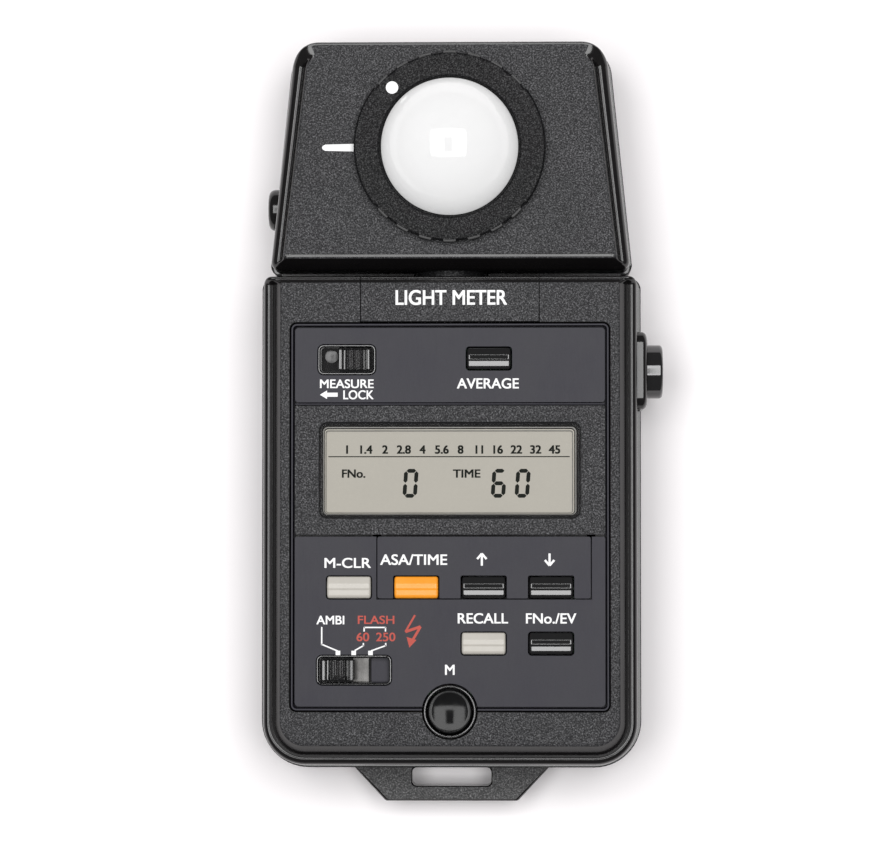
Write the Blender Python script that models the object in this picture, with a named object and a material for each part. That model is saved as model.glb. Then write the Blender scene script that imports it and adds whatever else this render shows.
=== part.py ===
"""Handheld flash and ambient light meter, lying on its back.

+X is the user's right, +Y runs from the strap lug to the swivelling head, and +Z comes out of the
display. The origin is in the flat back of the case. Sizes are in millimetres until a mesh is made.
"""

import math

import bmesh
import bpy
from mathutils import Matrix, Vector

MM = 0.001  # metres in one millimetre

# Fits
GAP = 0.3  # between two pieces that meet
RUNNING = 0.25  # beside a piece that slides or turns

# Facets
CORNER_STEPS = 5
SMALL_CORNER_STEPS = 2
ROUND_STEPS = 32
SMALL_ROUND_STEPS = 16
DOME_STEPS = 7

# Case of the body
THICKNESS = 25.0
SPLIT_Z = THICKNESS / 2  # where the front and rear shells meet, and the swivel's axis
BODY_HALF_WIDTH = 38.0
BODY_TOP = 29.3
BODY_BOTTOM = -68.65
BODY_TOP_RADIUS = 2.2
BODY_LOW_RADIUS = 9.4
TOP_SHARE = 0.36  # the body's top edge steps in by this much of what its sides do
WALL = 2.0
SHELL_STEP = 1.0  # the front shell is this much narrower than the rear one
FLOOR_Z = 3.0  # inside of the back wall
CEILING_Z = 22.8  # inside of the front wall
# Steps in from the outline against height, up the outside of the front and down that of the back
FRONT_EDGE = ((1.0, 22.0), (1.4, 22.8), (2.0, 23.0), (2.8, 22.7), (4.2, 24.6), (4.7, THICKNESS))
REAR_EDGE = ((0.0, 2.4), (0.7, 0.8), (2.2, 0.0))

# Case of the head
HEAD_LOW = 29.7
HEAD_TOP = 76.1
HEAD_LOW_HALF_WIDTH = 36.5
HEAD_TOP_HALF_WIDTH = 31.7
HEAD_LOW_RADIUS = 2.2
HEAD_TOP_RADIUS = 6.3
HEAD_LOW_SHARE = 0.6
HEAD_TOP_SHARE = 0.8
HEAD_SIDE_SHARE = 0.8

# Swivel between the head and the body, about the long axis
NECK_RADIUS = 7.2
NECK_BORE = 5.0
NECK_FLANGE_RADIUS = 9.0
BEARING_RADIUS = 9.2
BEARING_LENGTH = 6.0
NECK_LOW = 17.6

# Receptor: ring, dome and what is under them
RECEPTOR_Y = 54.3
RING_RADIUS = 18.7
RING_TOP = 27.6
DOME_RADIUS = 13.5
DOME_BASE_Z = 26.6
DOME_HEIGHT = 12.0
DOME_WALL = 1.1
SPIGOT_RADIUS = 12.2
SPIGOT_WALL = 1.0
BASE_RADIUS = 13.7

# Control panel
PANEL_TOP_Z = 24.9
PANEL_LOW_Z = 22.6
PANEL_Z = (PANEL_LOW_Z, PANEL_TOP_Z)
PANEL_HALF_WIDTH = 30.55
OPENING_HALF_WIDTH = 31.5
OPENING_TOP = 19.72
OPENING_LOW = -56.84
COVER_SEAM_X = 17.7
FRAME_STRIP = 0.45
FRAME_LEDGE = 1.9
FIELD_LEFT, FIELD_RIGHT, FIELD_LOW = -14.25, 27.7, -34.6
FIELD_TOP_Z = 25.2
UPPER_PANEL = (3.85, 18.75)
DISPLAY_PANEL = (-22.05, 3.5)
LOWER_PANEL = (-55.85, -22.45)

# Keys: name, centre X, centre Y, colour
KEY_WIDTH = 8.65
KEY_DEPTH = 4.3
KEY_BASE_Z = 20.3
KEY_SHOULDER_Z = 24.9
KEY_TOP_Z = 25.7
KEY_COLUMN = 13.25
KEY_ROW = 11.0
FIELD_KEY_X = 6.65
FIELD_KEY_Y = -32.45
UPPER_KEY = (7.7, 12.6)

# Display
WINDOW_CENTRE_Y = -9.4
WINDOW_SIZE = (50.8, 18.2)

# Slide switches: centre of the slot, outer size, and how far the knob travels
LOCK_SLOT = (-20.3, 12.4)
LOCK_SLOT_SIZE = (11.5, 6.0)
LOCK_KNOB_X = -18.8
LOCK_TRAVEL = 3.3
MODE_SLOT = (-18.85, -48.7)
MODE_SLOT_SIZE = (14.9, 6.0)
MODE_KNOB_X = -22.05
MODE_TRAVEL = 6.5
SLOT_LIP = 0.55
SLOT_FLOOR_Z = 23.0
SLOT_TOP_Z = 25.2
KNOB_SIZE = (6.3, 4.0)

# Memory button and measuring button
MEMORY_PLACE = (0.0, -56.8)
MEMORY_RADIUS = 4.35
MEMORY_RING = (4.65, 5.25)
SIDE_BUTTON_Y = 10.5
SIDE_BUTTON_RADIUS = 5.35
SIDE_BUTTON_END = 42.4
COLLAR_SIZE = (15.6, 15.4)
COLLAR_END = 39.1
COLLAR_START = 35.0

# Strap lug
LUG_LOW = -75.7
LUG_HALF_WIDTHS = (13.3, 19.6)  # at its end and where it leaves the case
LUG_Z = (3.4, 8.4)
LUG_TANG = (16.0, -65.4)
LUG_SLOT = (16.0, 3.7)

# Battery and its door
BATTERY_RADIUS = 6.5
BATTERY_LENGTH = 25.2
BATTERY_Y = -47.6
DOOR_HALF_WIDTH = 11.0
DOOR_Y = (-66.3, -34.5)
DOOR_Z = (0.15, 1.5)

# Screws
SCREW_PLACES = ((-26.0, 24.0), (26.0, 24.0), (-26.0, -60.5), (26.0, -60.5))
HEAD_SCREW_PLACES = ((-26.0, 36.7), (26.0, 36.7), (-22.0, 68.0), (22.0, 68.0))
BOSS_RADIUS = 2.6
SCREW_HEAD_RADIUS = 2.4
SCREW_RADIUS = 1.0
SCREW_HEAD_Z = (0.35, 1.7)
SCREW_END_Z = 11.0
THREAD_TOP_Z = 13.5

BOARD_Z = (17.0, 18.0)
MAT_Z = (BOARD_Z[1] + GAP, KEY_BASE_Z - 1.1)

# Colour, roughness and metallic value of each material
MATERIALS = {
    "grained_black": ((0.035, 0.035, 0.037), 0.55, 0.0),
    "smooth_black": ((0.055, 0.055, 0.060), 0.38, 0.0),
    "gloss_black": ((0.010, 0.010, 0.011), 0.12, 0.0),
    "light_grey": ((0.62, 0.60, 0.55), 0.40, 0.0),
    "orange": ((0.85, 0.36, 0.05), 0.40, 0.0),
    "opal_white": ((0.86, 0.86, 0.86), 0.35, 0.0),
    "clear": ((0.80, 0.82, 0.82), 0.05, 0.0),
    "display_grey": ((0.52, 0.50, 0.45), 0.20, 0.0),
    "board_green": ((0.03, 0.17, 0.07), 0.50, 0.0),
    "steel": ((0.55, 0.55, 0.56), 0.30, 1.0),
    "brass": ((0.70, 0.52, 0.22), 0.30, 1.0),
    "rubber_grey": ((0.20, 0.20, 0.21), 0.80, 0.0),
}


def clear_scene():
    for item in list(bpy.data.objects):
        bpy.data.objects.remove(item, do_unlink=True)


def material(kind):
    found = bpy.data.materials.get(kind)
    if found:
        return found
    colour, roughness, metallic = MATERIALS[kind]
    made = bpy.data.materials.new(kind)
    made.use_nodes = True
    shader = made.node_tree.nodes["Principled BSDF"]
    shader.inputs["Base Color"].default_value = (*colour, 1.0)
    shader.inputs["Roughness"].default_value = roughness
    shader.inputs["Metallic"].default_value = metallic
    made.diffuse_color = (*colour, 1.0)
    return made


# Outlines, anticlockwise, as 2-D points


def rounded_polygon(corners, radii, steps=CORNER_STEPS):
    """The polygon with an arc at each corner, or a bare point where the radius is 0."""
    points = []
    for index, corner in enumerate(corners):
        here = Vector(corner)
        back = (Vector(corners[index - 1]) - here).normalized()
        on = (Vector(corners[(index + 1) % len(corners)]) - here).normalized()
        radius = radii[index]
        if radius == 0:
            points.append(here)
            continue
        half = back.angle(on) / 2
        centre = here + (back + on).normalized() * (radius / math.sin(half))
        start = here + back * (radius / math.tan(half)) - centre
        turn = math.pi - 2 * half
        for step in range(steps + 1):
            points.append(centre + Matrix.Rotation(turn * step / steps, 2) @ start)
    return points


def box_outline(left, right, low, top, radius):
    corners = [(left, low), (right, low), (right, top), (left, top)]
    return rounded_polygon(corners, [radius] * 4, SMALL_CORNER_STEPS)


def centred_outline(centre, size, radius):
    x, y = centre
    width, depth = size
    return box_outline(x - width / 2, x + width / 2, y - depth / 2, y + depth / 2, radius)


def circle_outline(centre, radius, steps=ROUND_STEPS):
    turns = [2 * math.pi * step / steps for step in range(steps)]
    return [Vector((centre[0] + radius * math.cos(a), centre[1] + radius * math.sin(a))) for a in turns]


def body_outline(inset):
    half = BODY_HALF_WIDTH - inset
    top = BODY_TOP - TOP_SHARE * inset
    low = BODY_BOTTOM + inset
    low_radius = max(BODY_LOW_RADIUS - inset, 1.0)
    top_radius = max(BODY_TOP_RADIUS - TOP_SHARE * inset, 0.5)
    corners = [(-half, low), (half, low), (half, top), (-half, top)]
    return rounded_polygon(corners, [low_radius, low_radius, top_radius, top_radius])


def head_outline(inset):
    low_half = HEAD_LOW_HALF_WIDTH - HEAD_SIDE_SHARE * inset
    top_half = HEAD_TOP_HALF_WIDTH - HEAD_SIDE_SHARE * inset
    low = HEAD_LOW + HEAD_LOW_SHARE * inset
    top = HEAD_TOP - HEAD_TOP_SHARE * inset
    low_radius = max(HEAD_LOW_RADIUS - HEAD_LOW_SHARE * inset, 0.5)
    top_radius = max(HEAD_TOP_RADIUS - HEAD_SIDE_SHARE * inset, 1.0)
    corners = [(-low_half, low), (low_half, low), (top_half, top), (-top_half, top)]
    return rounded_polygon(corners, [low_radius, low_radius, top_radius, top_radius])


# Solids


def add_object(name, bm, kind):
    """One object from a bmesh in millimetres, shaded smooth between its sharp edges."""
    bmesh.ops.recalc_face_normals(bm, faces=bm.faces)
    bmesh.ops.scale(bm, vec=(MM, MM, MM), verts=bm.verts)
    mesh = bpy.data.meshes.new(name)
    bm.to_mesh(mesh)
    bm.free()
    mesh.shade_smooth()
    mesh.set_sharp_from_angle(angle=math.radians(35))
    mesh.materials.append(material(kind))
    item = bpy.data.objects.new(name, mesh)
    bpy.context.scene.collection.objects.link(item)
    return item


def place(item, location, rotation=(0.0, 0.0, 0.0)):
    item.location = Vector(location) * MM
    item.rotation_euler = rotation
    return item


ALONG_X = (0.0, math.pi / 2, 0.0)  # turns a piece made along +Z to lie along +X
ALONG_Y = (-math.pi / 2, 0.0, 0.0)  # and this one along +Y


def fill_loft(bm, levels):
    """Adds one closed solid through (outline, height) levels with the same number of points."""
    rows = []
    for outline, z in levels:
        rows.append([bm.verts.new((point[0], point[1], z)) for point in outline])
    for low, high in zip(rows, rows[1:]):
        for index, vertex in enumerate(low):
            after = (index + 1) % len(low)
            bm.faces.new((vertex, low[after], high[after], high[index]))
    bm.faces.new(rows[0][::-1])
    bm.faces.new(rows[-1])


def loft(name, levels, kind):
    bm = bmesh.new()
    fill_loft(bm, levels)
    return add_object(name, bm, kind)


def prism(name, outline, z_range, kind, holes=()):
    """A flat plate with an outline and any holes right through it."""
    low, high = z_range
    bm = bmesh.new()
    edges = []
    for loop in (outline, *holes):
        row = [bm.verts.new((point[0], point[1], low)) for point in loop]
        edges += [bm.edges.new((vertex, row[index - 1])) for index, vertex in enumerate(row)]
    bmesh.ops.triangle_fill(bm, edges=edges, use_beauty=True, use_dissolve=False)
    lifted = bmesh.ops.extrude_face_region(bm, geom=bm.faces[:])
    raised = [item for item in lifted["geom"] if isinstance(item, bmesh.types.BMVert)]
    bmesh.ops.translate(bm, vec=(0, 0, high - low), verts=raised)
    return add_object(name, bm, kind)


def turned(name, profile, kind, steps=ROUND_STEPS):
    """A solid turned about Z, from a (radius, height) profile that closes or ends on the axis."""
    bm = bmesh.new()
    rows = []
    for radius, z in profile:
        count = steps if radius else 1
        row = []
        for point in circle_outline((0, 0), radius, count):
            row.append(bm.verts.new((point[0], point[1], z)))
        rows.append(row)
    solid = profile[0][0] == 0
    for index in range(1 if solid else 0, len(rows)):
        low, high = rows[index - 1], rows[index]
        for step in range(steps):
            after = (step + 1) % steps
            below = [low[step % len(low)], low[after % len(low)]]
            above = [high[after % len(high)], high[step % len(high)]]
            bm.faces.new(list(dict.fromkeys(below + above)))
    return add_object(name, bm, kind)


def cylinders(name, places, radius, z_range, steps=SMALL_ROUND_STEPS):
    """Upright cylinders in one mesh, as a tool for a Boolean."""
    bm = bmesh.new()
    for centre in places:
        fill_loft(bm, [(circle_outline(centre, radius, steps), z) for z in z_range])
    return add_object(name, bm, "smooth_black")


def block(name, x_range, y_range, z_range, kind="smooth_black"):
    left, right = x_range
    low, top = y_range
    corners = [(left, low), (right, low), (right, top), (left, top)]
    return loft(name, [(corners, z_range[0]), (corners, z_range[1])], kind)


def apply_tool(target, tool, operation="DIFFERENCE"):
    """Cuts or joins a hidden tool, which stays in the scene as a wire guide."""
    tool.hide_render = True
    tool.display_type = "WIRE"
    modifier = target.modifiers.new(tool.name, "BOOLEAN")
    modifier.operation = operation
    modifier.solver = "EXACT"
    modifier.object = tool


# Shells


def front_levels(outline):
    """A cup that opens backwards: up its inside from the ceiling to the split, then up its outside."""
    inner = SHELL_STEP + WALL
    rim_z = SPLIT_Z + GAP / 2
    inside = [(inner + 1.6, CEILING_Z), (inner, CEILING_Z - 1.4), (inner, rim_z), (SHELL_STEP, rim_z)]
    return [(outline(inset), z) for inset, z in (*inside, *FRONT_EDGE)]


def rear_levels(outline):
    """A cup that opens forwards."""
    rim_z = SPLIT_Z - GAP / 2
    inside = [(WALL + 1.2, FLOOR_Z), (WALL, FLOOR_Z + 1.2), (WALL, rim_z), (0, rim_z)]
    return [(outline(inset), z) for inset, z in (*inside, *REAR_EDGE)]


def add_bosses(shell, name, places):
    """Screw pillars that reach from the front shell to just above the back wall."""
    pillars = cylinders(f"{name}_pillars", places, BOSS_RADIUS, (FLOOR_Z + GAP, CEILING_Z + 0.6))
    threads = cylinders(f"{name}_threads", places, SCREW_RADIUS + GAP, (FLOOR_Z - 1, THREAD_TOP_Z))
    apply_tool(shell, pillars, "UNION")
    apply_tool(shell, threads)


def add_screw_holes(shell, name, places):
    seat_z = (-1.0, SCREW_HEAD_Z[1] + GAP)
    seats = cylinders(f"{name}_counterbores", places, SCREW_HEAD_RADIUS + GAP, seat_z)
    holes = cylinders(f"{name}_holes", places, SCREW_RADIUS + GAP, (-1.5, FLOOR_Z + 1))
    apply_tool(shell, seats)
    apply_tool(shell, holes)


def neck_tool(name, y_range, radius):
    """A cylinder along the swivel's axis, which opens a shell for the neck."""
    low, high = y_range
    tool = turned(name, [(0, 0), (radius, 0), (radius, high - low), (0, high - low)], "smooth_black")
    return place(tool, (0, low, SPLIT_Z), ALONG_Y)


def side_button_tool(name):
    """The opening in the right side that the collar fills."""
    depth, height = COLLAR_SIZE
    y_range = (SIDE_BUTTON_Y - height / 2 - GAP, SIDE_BUTTON_Y + height / 2 + GAP)
    z_range = (SPLIT_Z - depth / 2 - GAP, SPLIT_Z + depth / 2 + GAP)
    return block(name, (COLLAR_START - 1.5, BODY_HALF_WIDTH + 2), y_range, z_range)


def lug_tool():
    """The opening in the lower wall for the strap lug's tang, level with the inside of the back."""
    half = LUG_TANG[0] + GAP
    z_range = (LUG_Z[0] - RUNNING, LUG_Z[1] + GAP)
    return block("lug_opening", (-half, half), (BODY_BOTTOM - 2, LUG_TANG[1] + 2), z_range)


def make_front_case():
    case = loft("front_case", front_levels(body_outline), "grained_black")
    half = OPENING_HALF_WIDTH
    opening = box_outline(-half, half, OPENING_LOW, OPENING_TOP, 1.3)
    above, below = THICKNESS + 1, CEILING_Z - 1
    apply_tool(case, loft("panel_opening", [(opening, below), (opening, above)], "smooth_black"))
    apply_tool(case, memory_tool("ring_opening"))
    cover_y = (OPENING_TOP + 0.01, BODY_TOP + 1)
    cover_z = (CEILING_Z - GAP, above + 1)
    apply_tool(case, block("cover_opening", (-COVER_SEAM_X, COVER_SEAM_X), cover_y, cover_z))
    apply_tool(case, neck_tool("front_neck_opening", (26.0, BODY_TOP + 2), BEARING_RADIUS + RUNNING))
    apply_tool(case, side_button_tool("front_collar_opening"))
    add_bosses(case, "case", SCREW_PLACES)


def make_rear_case():
    case = loft("rear_case", rear_levels(body_outline), "grained_black")
    apply_tool(case, neck_tool("rear_neck_opening", (26.0, BODY_TOP + 2), BEARING_RADIUS + RUNNING))
    apply_tool(case, side_button_tool("rear_collar_opening"))
    apply_tool(case, lug_tool())
    door_x = (-DOOR_HALF_WIDTH - RUNNING, DOOR_HALF_WIDTH + RUNNING)
    door_y = (BODY_BOTTOM - 3, DOOR_Y[1] + GAP)
    apply_tool(case, block("door_channel", door_x, door_y, (-1, DOOR_Z[1] + RUNNING)))
    bay_x = (-BATTERY_RADIUS - 1.8, BATTERY_RADIUS + 1.8)
    bay_y = (BATTERY_Y - BATTERY_LENGTH / 2 - GAP, DOOR_Y[1] - 1.5)
    apply_tool(case, block("battery_opening", bay_x, bay_y, (-2, FLOOR_Z + 1)))
    add_screw_holes(case, "case", SCREW_PLACES)


def make_head_front_case():
    case = loft("head_front_case", front_levels(head_outline), "grained_black")
    centre = (0, RECEPTOR_Y)
    z_range = (CEILING_Z - 1, THICKNESS + 1)
    apply_tool(case, cylinders("receptor_opening", [centre], BASE_RADIUS + GAP, z_range, ROUND_STEPS))
    apply_tool(case, neck_tool("head_front_neck_opening", (HEAD_LOW - 1, 34.5), NECK_RADIUS + GAP))
    apply_tool(case, sync_tool("front_sync_opening"))
    add_bosses(case, "head", HEAD_SCREW_PLACES)
    return case


def make_head_rear_case():
    case = loft("head_rear_case", rear_levels(head_outline), "grained_black")
    apply_tool(case, neck_tool("head_rear_neck_opening", (HEAD_LOW - 1, 34.5), NECK_RADIUS + GAP))
    apply_tool(case, sync_tool("rear_sync_opening"))
    add_screw_holes(case, "head", HEAD_SCREW_PLACES)
    return case


# Swivel


def ring_profile(inner, outer, low, high):
    return [(inner, low), (outer, low), (outer, high), (inner, high)]


def make_swivel_bearing():
    profile = ring_profile(NECK_RADIUS + RUNNING, BEARING_RADIUS, 0, BEARING_LENGTH)
    ring = turned("swivel_bearing", profile, "steel")
    place(ring, (0, BODY_TOP - BEARING_LENGTH - 0.2, SPLIT_Z), ALONG_Y)


def make_swivel_cover():
    """The plate over the swivel, in the middle of the body's top edge."""
    half = COVER_SEAM_X - GAP
    low = OPENING_TOP + GAP
    full = box_outline(-half, half, low, BODY_TOP - 0.4, 0.3)
    face = box_outline(-half, half, low, BODY_TOP - 1.3, 0.3)
    levels = [(full, CEILING_Z), (full, CEILING_Z + 0.6), (face, THICKNESS)]
    loft("swivel_cover", levels, "grained_black")


def make_swivel_neck():
    """The tube that carries the head, flanged inside the head."""
    length = HEAD_LOW + 5.4 - NECK_LOW
    flange = HEAD_LOW + 3.2 - NECK_LOW
    profile = [
        (NECK_BORE, 0),
        (NECK_RADIUS, 0),
        (NECK_RADIUS, flange),
        (NECK_FLANGE_RADIUS, flange),
        (NECK_FLANGE_RADIUS, length),
        (NECK_BORE, length),
    ]
    return place(turned("swivel_neck", profile, "smooth_black"), (0, NECK_LOW, SPLIT_Z), ALONG_Y)


def make_neck_retainer():
    """The ring that keeps the neck from pulling out of its bearing."""
    ring = turned("neck_retainer", ring_profile(NECK_RADIUS + GAP, BEARING_RADIUS, 0, 1.6), "steel")
    return place(ring, (0, BODY_TOP - BEARING_LENGTH - 2.6, SPLIT_Z), ALONG_Y)


# Receptor


def make_receptor_base():
    bore = SPIGOT_RADIUS + RUNNING
    profile = [
        (bore, 20.5),
        (BASE_RADIUS + 1.8, 20.5),
        (BASE_RADIUS + 1.8, CEILING_Z - GAP),
        (BASE_RADIUS, CEILING_Z - GAP),
        (BASE_RADIUS, THICKNESS),
        (bore, THICKNESS),
    ]
    return place(turned("receptor_base", profile, "smooth_black"), (0, RECEPTOR_Y, 0))


def make_diffuser_ring():
    """The grip ring, with the bayonet spigot below it and the seat for the dome inside it."""
    seat = DOME_BASE_Z - GAP
    bore = SPIGOT_RADIUS - SPIGOT_WALL
    under = THICKNESS + GAP
    profile = [
        (bore, 23.3),
        (SPIGOT_RADIUS, 23.3),
        (SPIGOT_RADIUS, under),
        (RING_RADIUS, under),
        (RING_RADIUS, RING_TOP - 0.5),
        (RING_RADIUS - 0.5, RING_TOP),
        (DOME_RADIUS + GAP, RING_TOP),
        (DOME_RADIUS + GAP, seat),
        (bore, seat),
    ]
    return place(turned("diffuser_ring", profile, "smooth_black", 48), (0, RECEPTOR_Y, 0))


def make_dome_diffuser():
    """A hollow white dome, open underneath."""
    quarter = [math.pi / 2 * step / DOME_STEPS for step in range(DOME_STEPS + 1)]

    def skin(depth):
        radius, height = DOME_RADIUS - depth, DOME_HEIGHT - depth
        slope = [(radius * math.cos(a), DOME_BASE_Z + height * math.sin(a)) for a in quarter[:-1]]
        return [*slope, (0, DOME_BASE_Z + height)]

    profile = skin(DOME_WALL)[::-1] + skin(0)
    return place(turned("dome_diffuser", profile, "opal_white"), (0, RECEPTOR_Y, 0))


def make_photocell():
    profile = [(0, 18.2), (4.5, 18.2), (4.5, 19.4), (0, 19.4)]
    return place(turned("photocell", profile, "display_grey", SMALL_ROUND_STEPS), (0, RECEPTOR_Y, 0))


def make_correction_filter():
    profile = [(0, 19.7), (6.0, 19.7), (6.0, 20.6), (0, 20.6)]
    return place(turned("correction_filter", profile, "clear", SMALL_ROUND_STEPS), (0, RECEPTOR_Y, 0))


def make_sensor_board():
    outline = centred_outline((0, RECEPTOR_Y), (28, 20), 1.0)
    return prism("sensor_board", outline, (16.6, 17.9), "board_green")


# Sync terminal on the head's left side

SYNC_Y = 43.1
SYNC_RADIUS = 4.15
SYNC_END = 36.6
SYNC_LENGTH = 6.0


def sync_tool(name):
    length = SYNC_LENGTH + 6
    radius = SYNC_RADIUS + GAP
    tool = turned(name, [(0, 0), (radius, 0), (radius, length), (0, length)], "smooth_black", 24)
    return place(tool, (-SYNC_END - 3, SYNC_Y, SPLIT_Z), ALONG_X)


def make_sync_terminal():
    """A round socket with a contact pin in the middle of its bore."""
    profile = [
        (0, 0),
        (SYNC_RADIUS, 0),
        (SYNC_RADIUS, SYNC_LENGTH - 0.5),
        (SYNC_RADIUS - 0.5, SYNC_LENGTH),
        (1.7, SYNC_LENGTH),
        (1.7, SYNC_LENGTH - 3.5),
        (0.6, SYNC_LENGTH - 3.5),
        (0.6, SYNC_LENGTH - 1.0),
        (0, SYNC_LENGTH - 1.0),
    ]
    terminal = turned("sync_terminal", profile, "brass", 24)
    return place(terminal, (-SYNC_END + SYNC_LENGTH, SYNC_Y, SPLIT_Z), (0.0, -math.pi / 2, 0.0))


# Control panel


def memory_tool(name):
    """The round opening for the memory button's ring."""
    radius = MEMORY_RING[1] + RUNNING
    return cylinders(name, [MEMORY_PLACE], radius, (BOARD_Z[1], THICKNESS + 1.2), ROUND_STEPS)


def make_panel_frame():
    """The thin border round the controls, with the ledge that the panels lie on."""
    half = OPENING_HALF_WIDTH - GAP
    low, top = OPENING_LOW + GAP, OPENING_TOP - GAP

    def outline(inset):
        return box_outline(-half + inset, half - inset, low + inset, top - inset, max(1.2 - inset, 0.3))

    base_z = PANEL_LOW_Z - 1.2
    ledge_z = PANEL_LOW_Z - GAP
    section = [(0, base_z), (0, PANEL_TOP_Z), (FRAME_STRIP, PANEL_TOP_Z)]
    section += [(FRAME_STRIP, ledge_z), (FRAME_LEDGE, ledge_z), (FRAME_LEDGE, base_z)]
    bm = bmesh.new()
    rows = [[bm.verts.new((point[0], point[1], z)) for point in outline(inset)] for inset, z in section]
    for index, row in enumerate(rows):
        last = rows[index - 1]
        for step, vertex in enumerate(row):
            bm.faces.new((last[step - 1], last[step], vertex, row[step - 1]))
    frame = add_object("panel_frame", bm, "smooth_black")
    apply_tool(frame, memory_tool("frame_ring_opening"))


def key_hole(x, y):
    return centred_outline((x, y), (KEY_WIDTH + 2 * RUNNING, KEY_DEPTH + 2 * RUNNING), 0.7)


def slot_hole(centre, size):
    return centred_outline(centre, (size[0] + 2 * RUNNING, size[1] + 2 * RUNNING), 1.2)


def make_upper_control_panel():
    outline = box_outline(-PANEL_HALF_WIDTH, PANEL_HALF_WIDTH, *UPPER_PANEL, 0.7)
    holes = [key_hole(*UPPER_KEY), slot_hole(LOCK_SLOT, LOCK_SLOT_SIZE)]
    prism("upper_control_panel", outline, PANEL_Z, "smooth_black", holes)


def make_display_bezel():
    outline = box_outline(-PANEL_HALF_WIDTH, PANEL_HALF_WIDTH, *DISPLAY_PANEL, 0.5)
    hole = centred_outline((0, WINDOW_CENTRE_Y), WINDOW_SIZE, 1.3)
    prism("display_bezel", outline, PANEL_Z, "grained_black", [hole])


def make_lower_control_panel():
    """A plate with a step in its top edge for the raised key field."""
    half = PANEL_HALF_WIDTH
    low, top = LOWER_PANEL
    left, right, step = FIELD_LEFT - GAP, FIELD_RIGHT + GAP, FIELD_LOW - GAP
    corners = [(-half, low), (half, low), (half, top), (right, top)]
    corners += [(right, step), (left, step), (left, top), (-half, top)]
    outline = rounded_polygon(corners, [0.8, 0.8, 0, 0, 0, 0, 0, 0])
    keys = [place_of_key(name) for name in ("memory_clear_key", "recall_key", "f_number_key")]
    holes = [key_hole(*centre) for centre in keys] + [slot_hole(MODE_SLOT, MODE_SLOT_SIZE)]
    panel = prism("lower_control_panel", outline, PANEL_Z, "smooth_black", holes)
    apply_tool(panel, memory_tool("panel_ring_opening"))


def make_key_field_plate():
    """The raised plate round three keys, open below each of them."""
    half = KEY_WIDTH / 2 + RUNNING
    notch_top = FIELD_KEY_Y + KEY_DEPTH / 2 + RUNNING
    outline = [(FIELD_LEFT, FIELD_LOW)]
    for name in ("speed_key", "up_key", "down_key"):
        x = place_of_key(name)[0]
        outline += [(x - half, FIELD_LOW), (x - half, notch_top)]
        outline += [(x + half, notch_top), (x + half, FIELD_LOW)]
    outline += [(FIELD_RIGHT, FIELD_LOW), (FIELD_RIGHT, LOWER_PANEL[1]), (FIELD_LEFT, LOWER_PANEL[1])]
    prism("key_field_plate", outline, (PANEL_LOW_Z, FIELD_TOP_Z), "smooth_black")


# Keys, in columns either side of the up key and two rows below the display
KEYS = {
    "average_key": (UPPER_KEY, "gloss_black"),
    "memory_clear_key": ((FIELD_KEY_X - 2 * KEY_COLUMN, FIELD_KEY_Y), "light_grey"),
    "speed_key": ((FIELD_KEY_X - KEY_COLUMN, FIELD_KEY_Y), "orange"),
    "up_key": ((FIELD_KEY_X, FIELD_KEY_Y), "gloss_black"),
    "down_key": ((FIELD_KEY_X + KEY_COLUMN, FIELD_KEY_Y), "gloss_black"),
    "recall_key": ((FIELD_KEY_X, FIELD_KEY_Y - KEY_ROW), "light_grey"),
    "f_number_key": ((FIELD_KEY_X + KEY_COLUMN, FIELD_KEY_Y - KEY_ROW), "gloss_black"),
}


def place_of_key(name):
    return KEYS[name][0]


def make_key(name):
    """A key with a ridge across its middle and a flange that keeps it under the panel."""
    centre, kind = KEYS[name]
    flange = centred_outline((0, 0), (KEY_WIDTH + 1.4, KEY_DEPTH + 1.4), 0.5)
    stem = centred_outline((0, 0), (KEY_WIDTH, KEY_DEPTH), 0.6)
    ridge = centred_outline((0, 0.3), (KEY_WIDTH - 0.5, 0.6), 0.25)
    levels = [
        (flange, 0),
        (flange, 1.0),
        (stem, 1.0),
        (stem, KEY_SHOULDER_Z - KEY_BASE_Z),
        (ridge, KEY_TOP_Z - KEY_BASE_Z),
    ]
    place(loft(name, levels, kind), (*centre, KEY_BASE_Z))


def make_switch_bezel(name, centre, size):
    """A shallow tray with a raised lip, in which the knob slides."""
    outer = centred_outline(centre, size, 1.0)
    inner = centred_outline(centre, (size[0] - 2 * SLOT_LIP, size[1] - 2 * SLOT_LIP), 0.6)
    levels = [(inner, SLOT_FLOOR_Z), (inner, SLOT_TOP_Z), (outer, SLOT_TOP_Z), (outer, SLOT_FLOOR_Z - 0.8)]
    loft(name, levels, "smooth_black")


def make_slide_knob(name, x, y):
    """A knob with grooves across it, made by one outline that runs along the top."""
    length, depth = KNOB_SIZE
    grooves = 4
    pitch = 1.0
    first = -pitch * (grooves - 1) / 2
    side = [(-length / 2, 0), (length / 2, 0), (length / 2, 1.9)]
    for index in reversed(range(grooves)):
        x_groove = first + pitch * index
        side += [(x_groove + 0.3, 2.7), (x_groove + 0.15, 2.2)]
        side += [(x_groove - 0.15, 2.2), (x_groove - 0.3, 2.7)]
    side.append((-length / 2, 1.9))
    knob = prism(name, side, (-depth / 2, depth / 2), "gloss_black")
    place(knob, (x, y, SLOT_FLOOR_Z + RUNNING), (math.pi / 2, 0.0, 0.0))


def make_memory_button_ring():
    profile = ring_profile(*MEMORY_RING, PANEL_LOW_Z, THICKNESS + 0.4)
    place(turned("memory_button_ring", profile, "gloss_black"), (*MEMORY_PLACE, 0))


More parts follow.
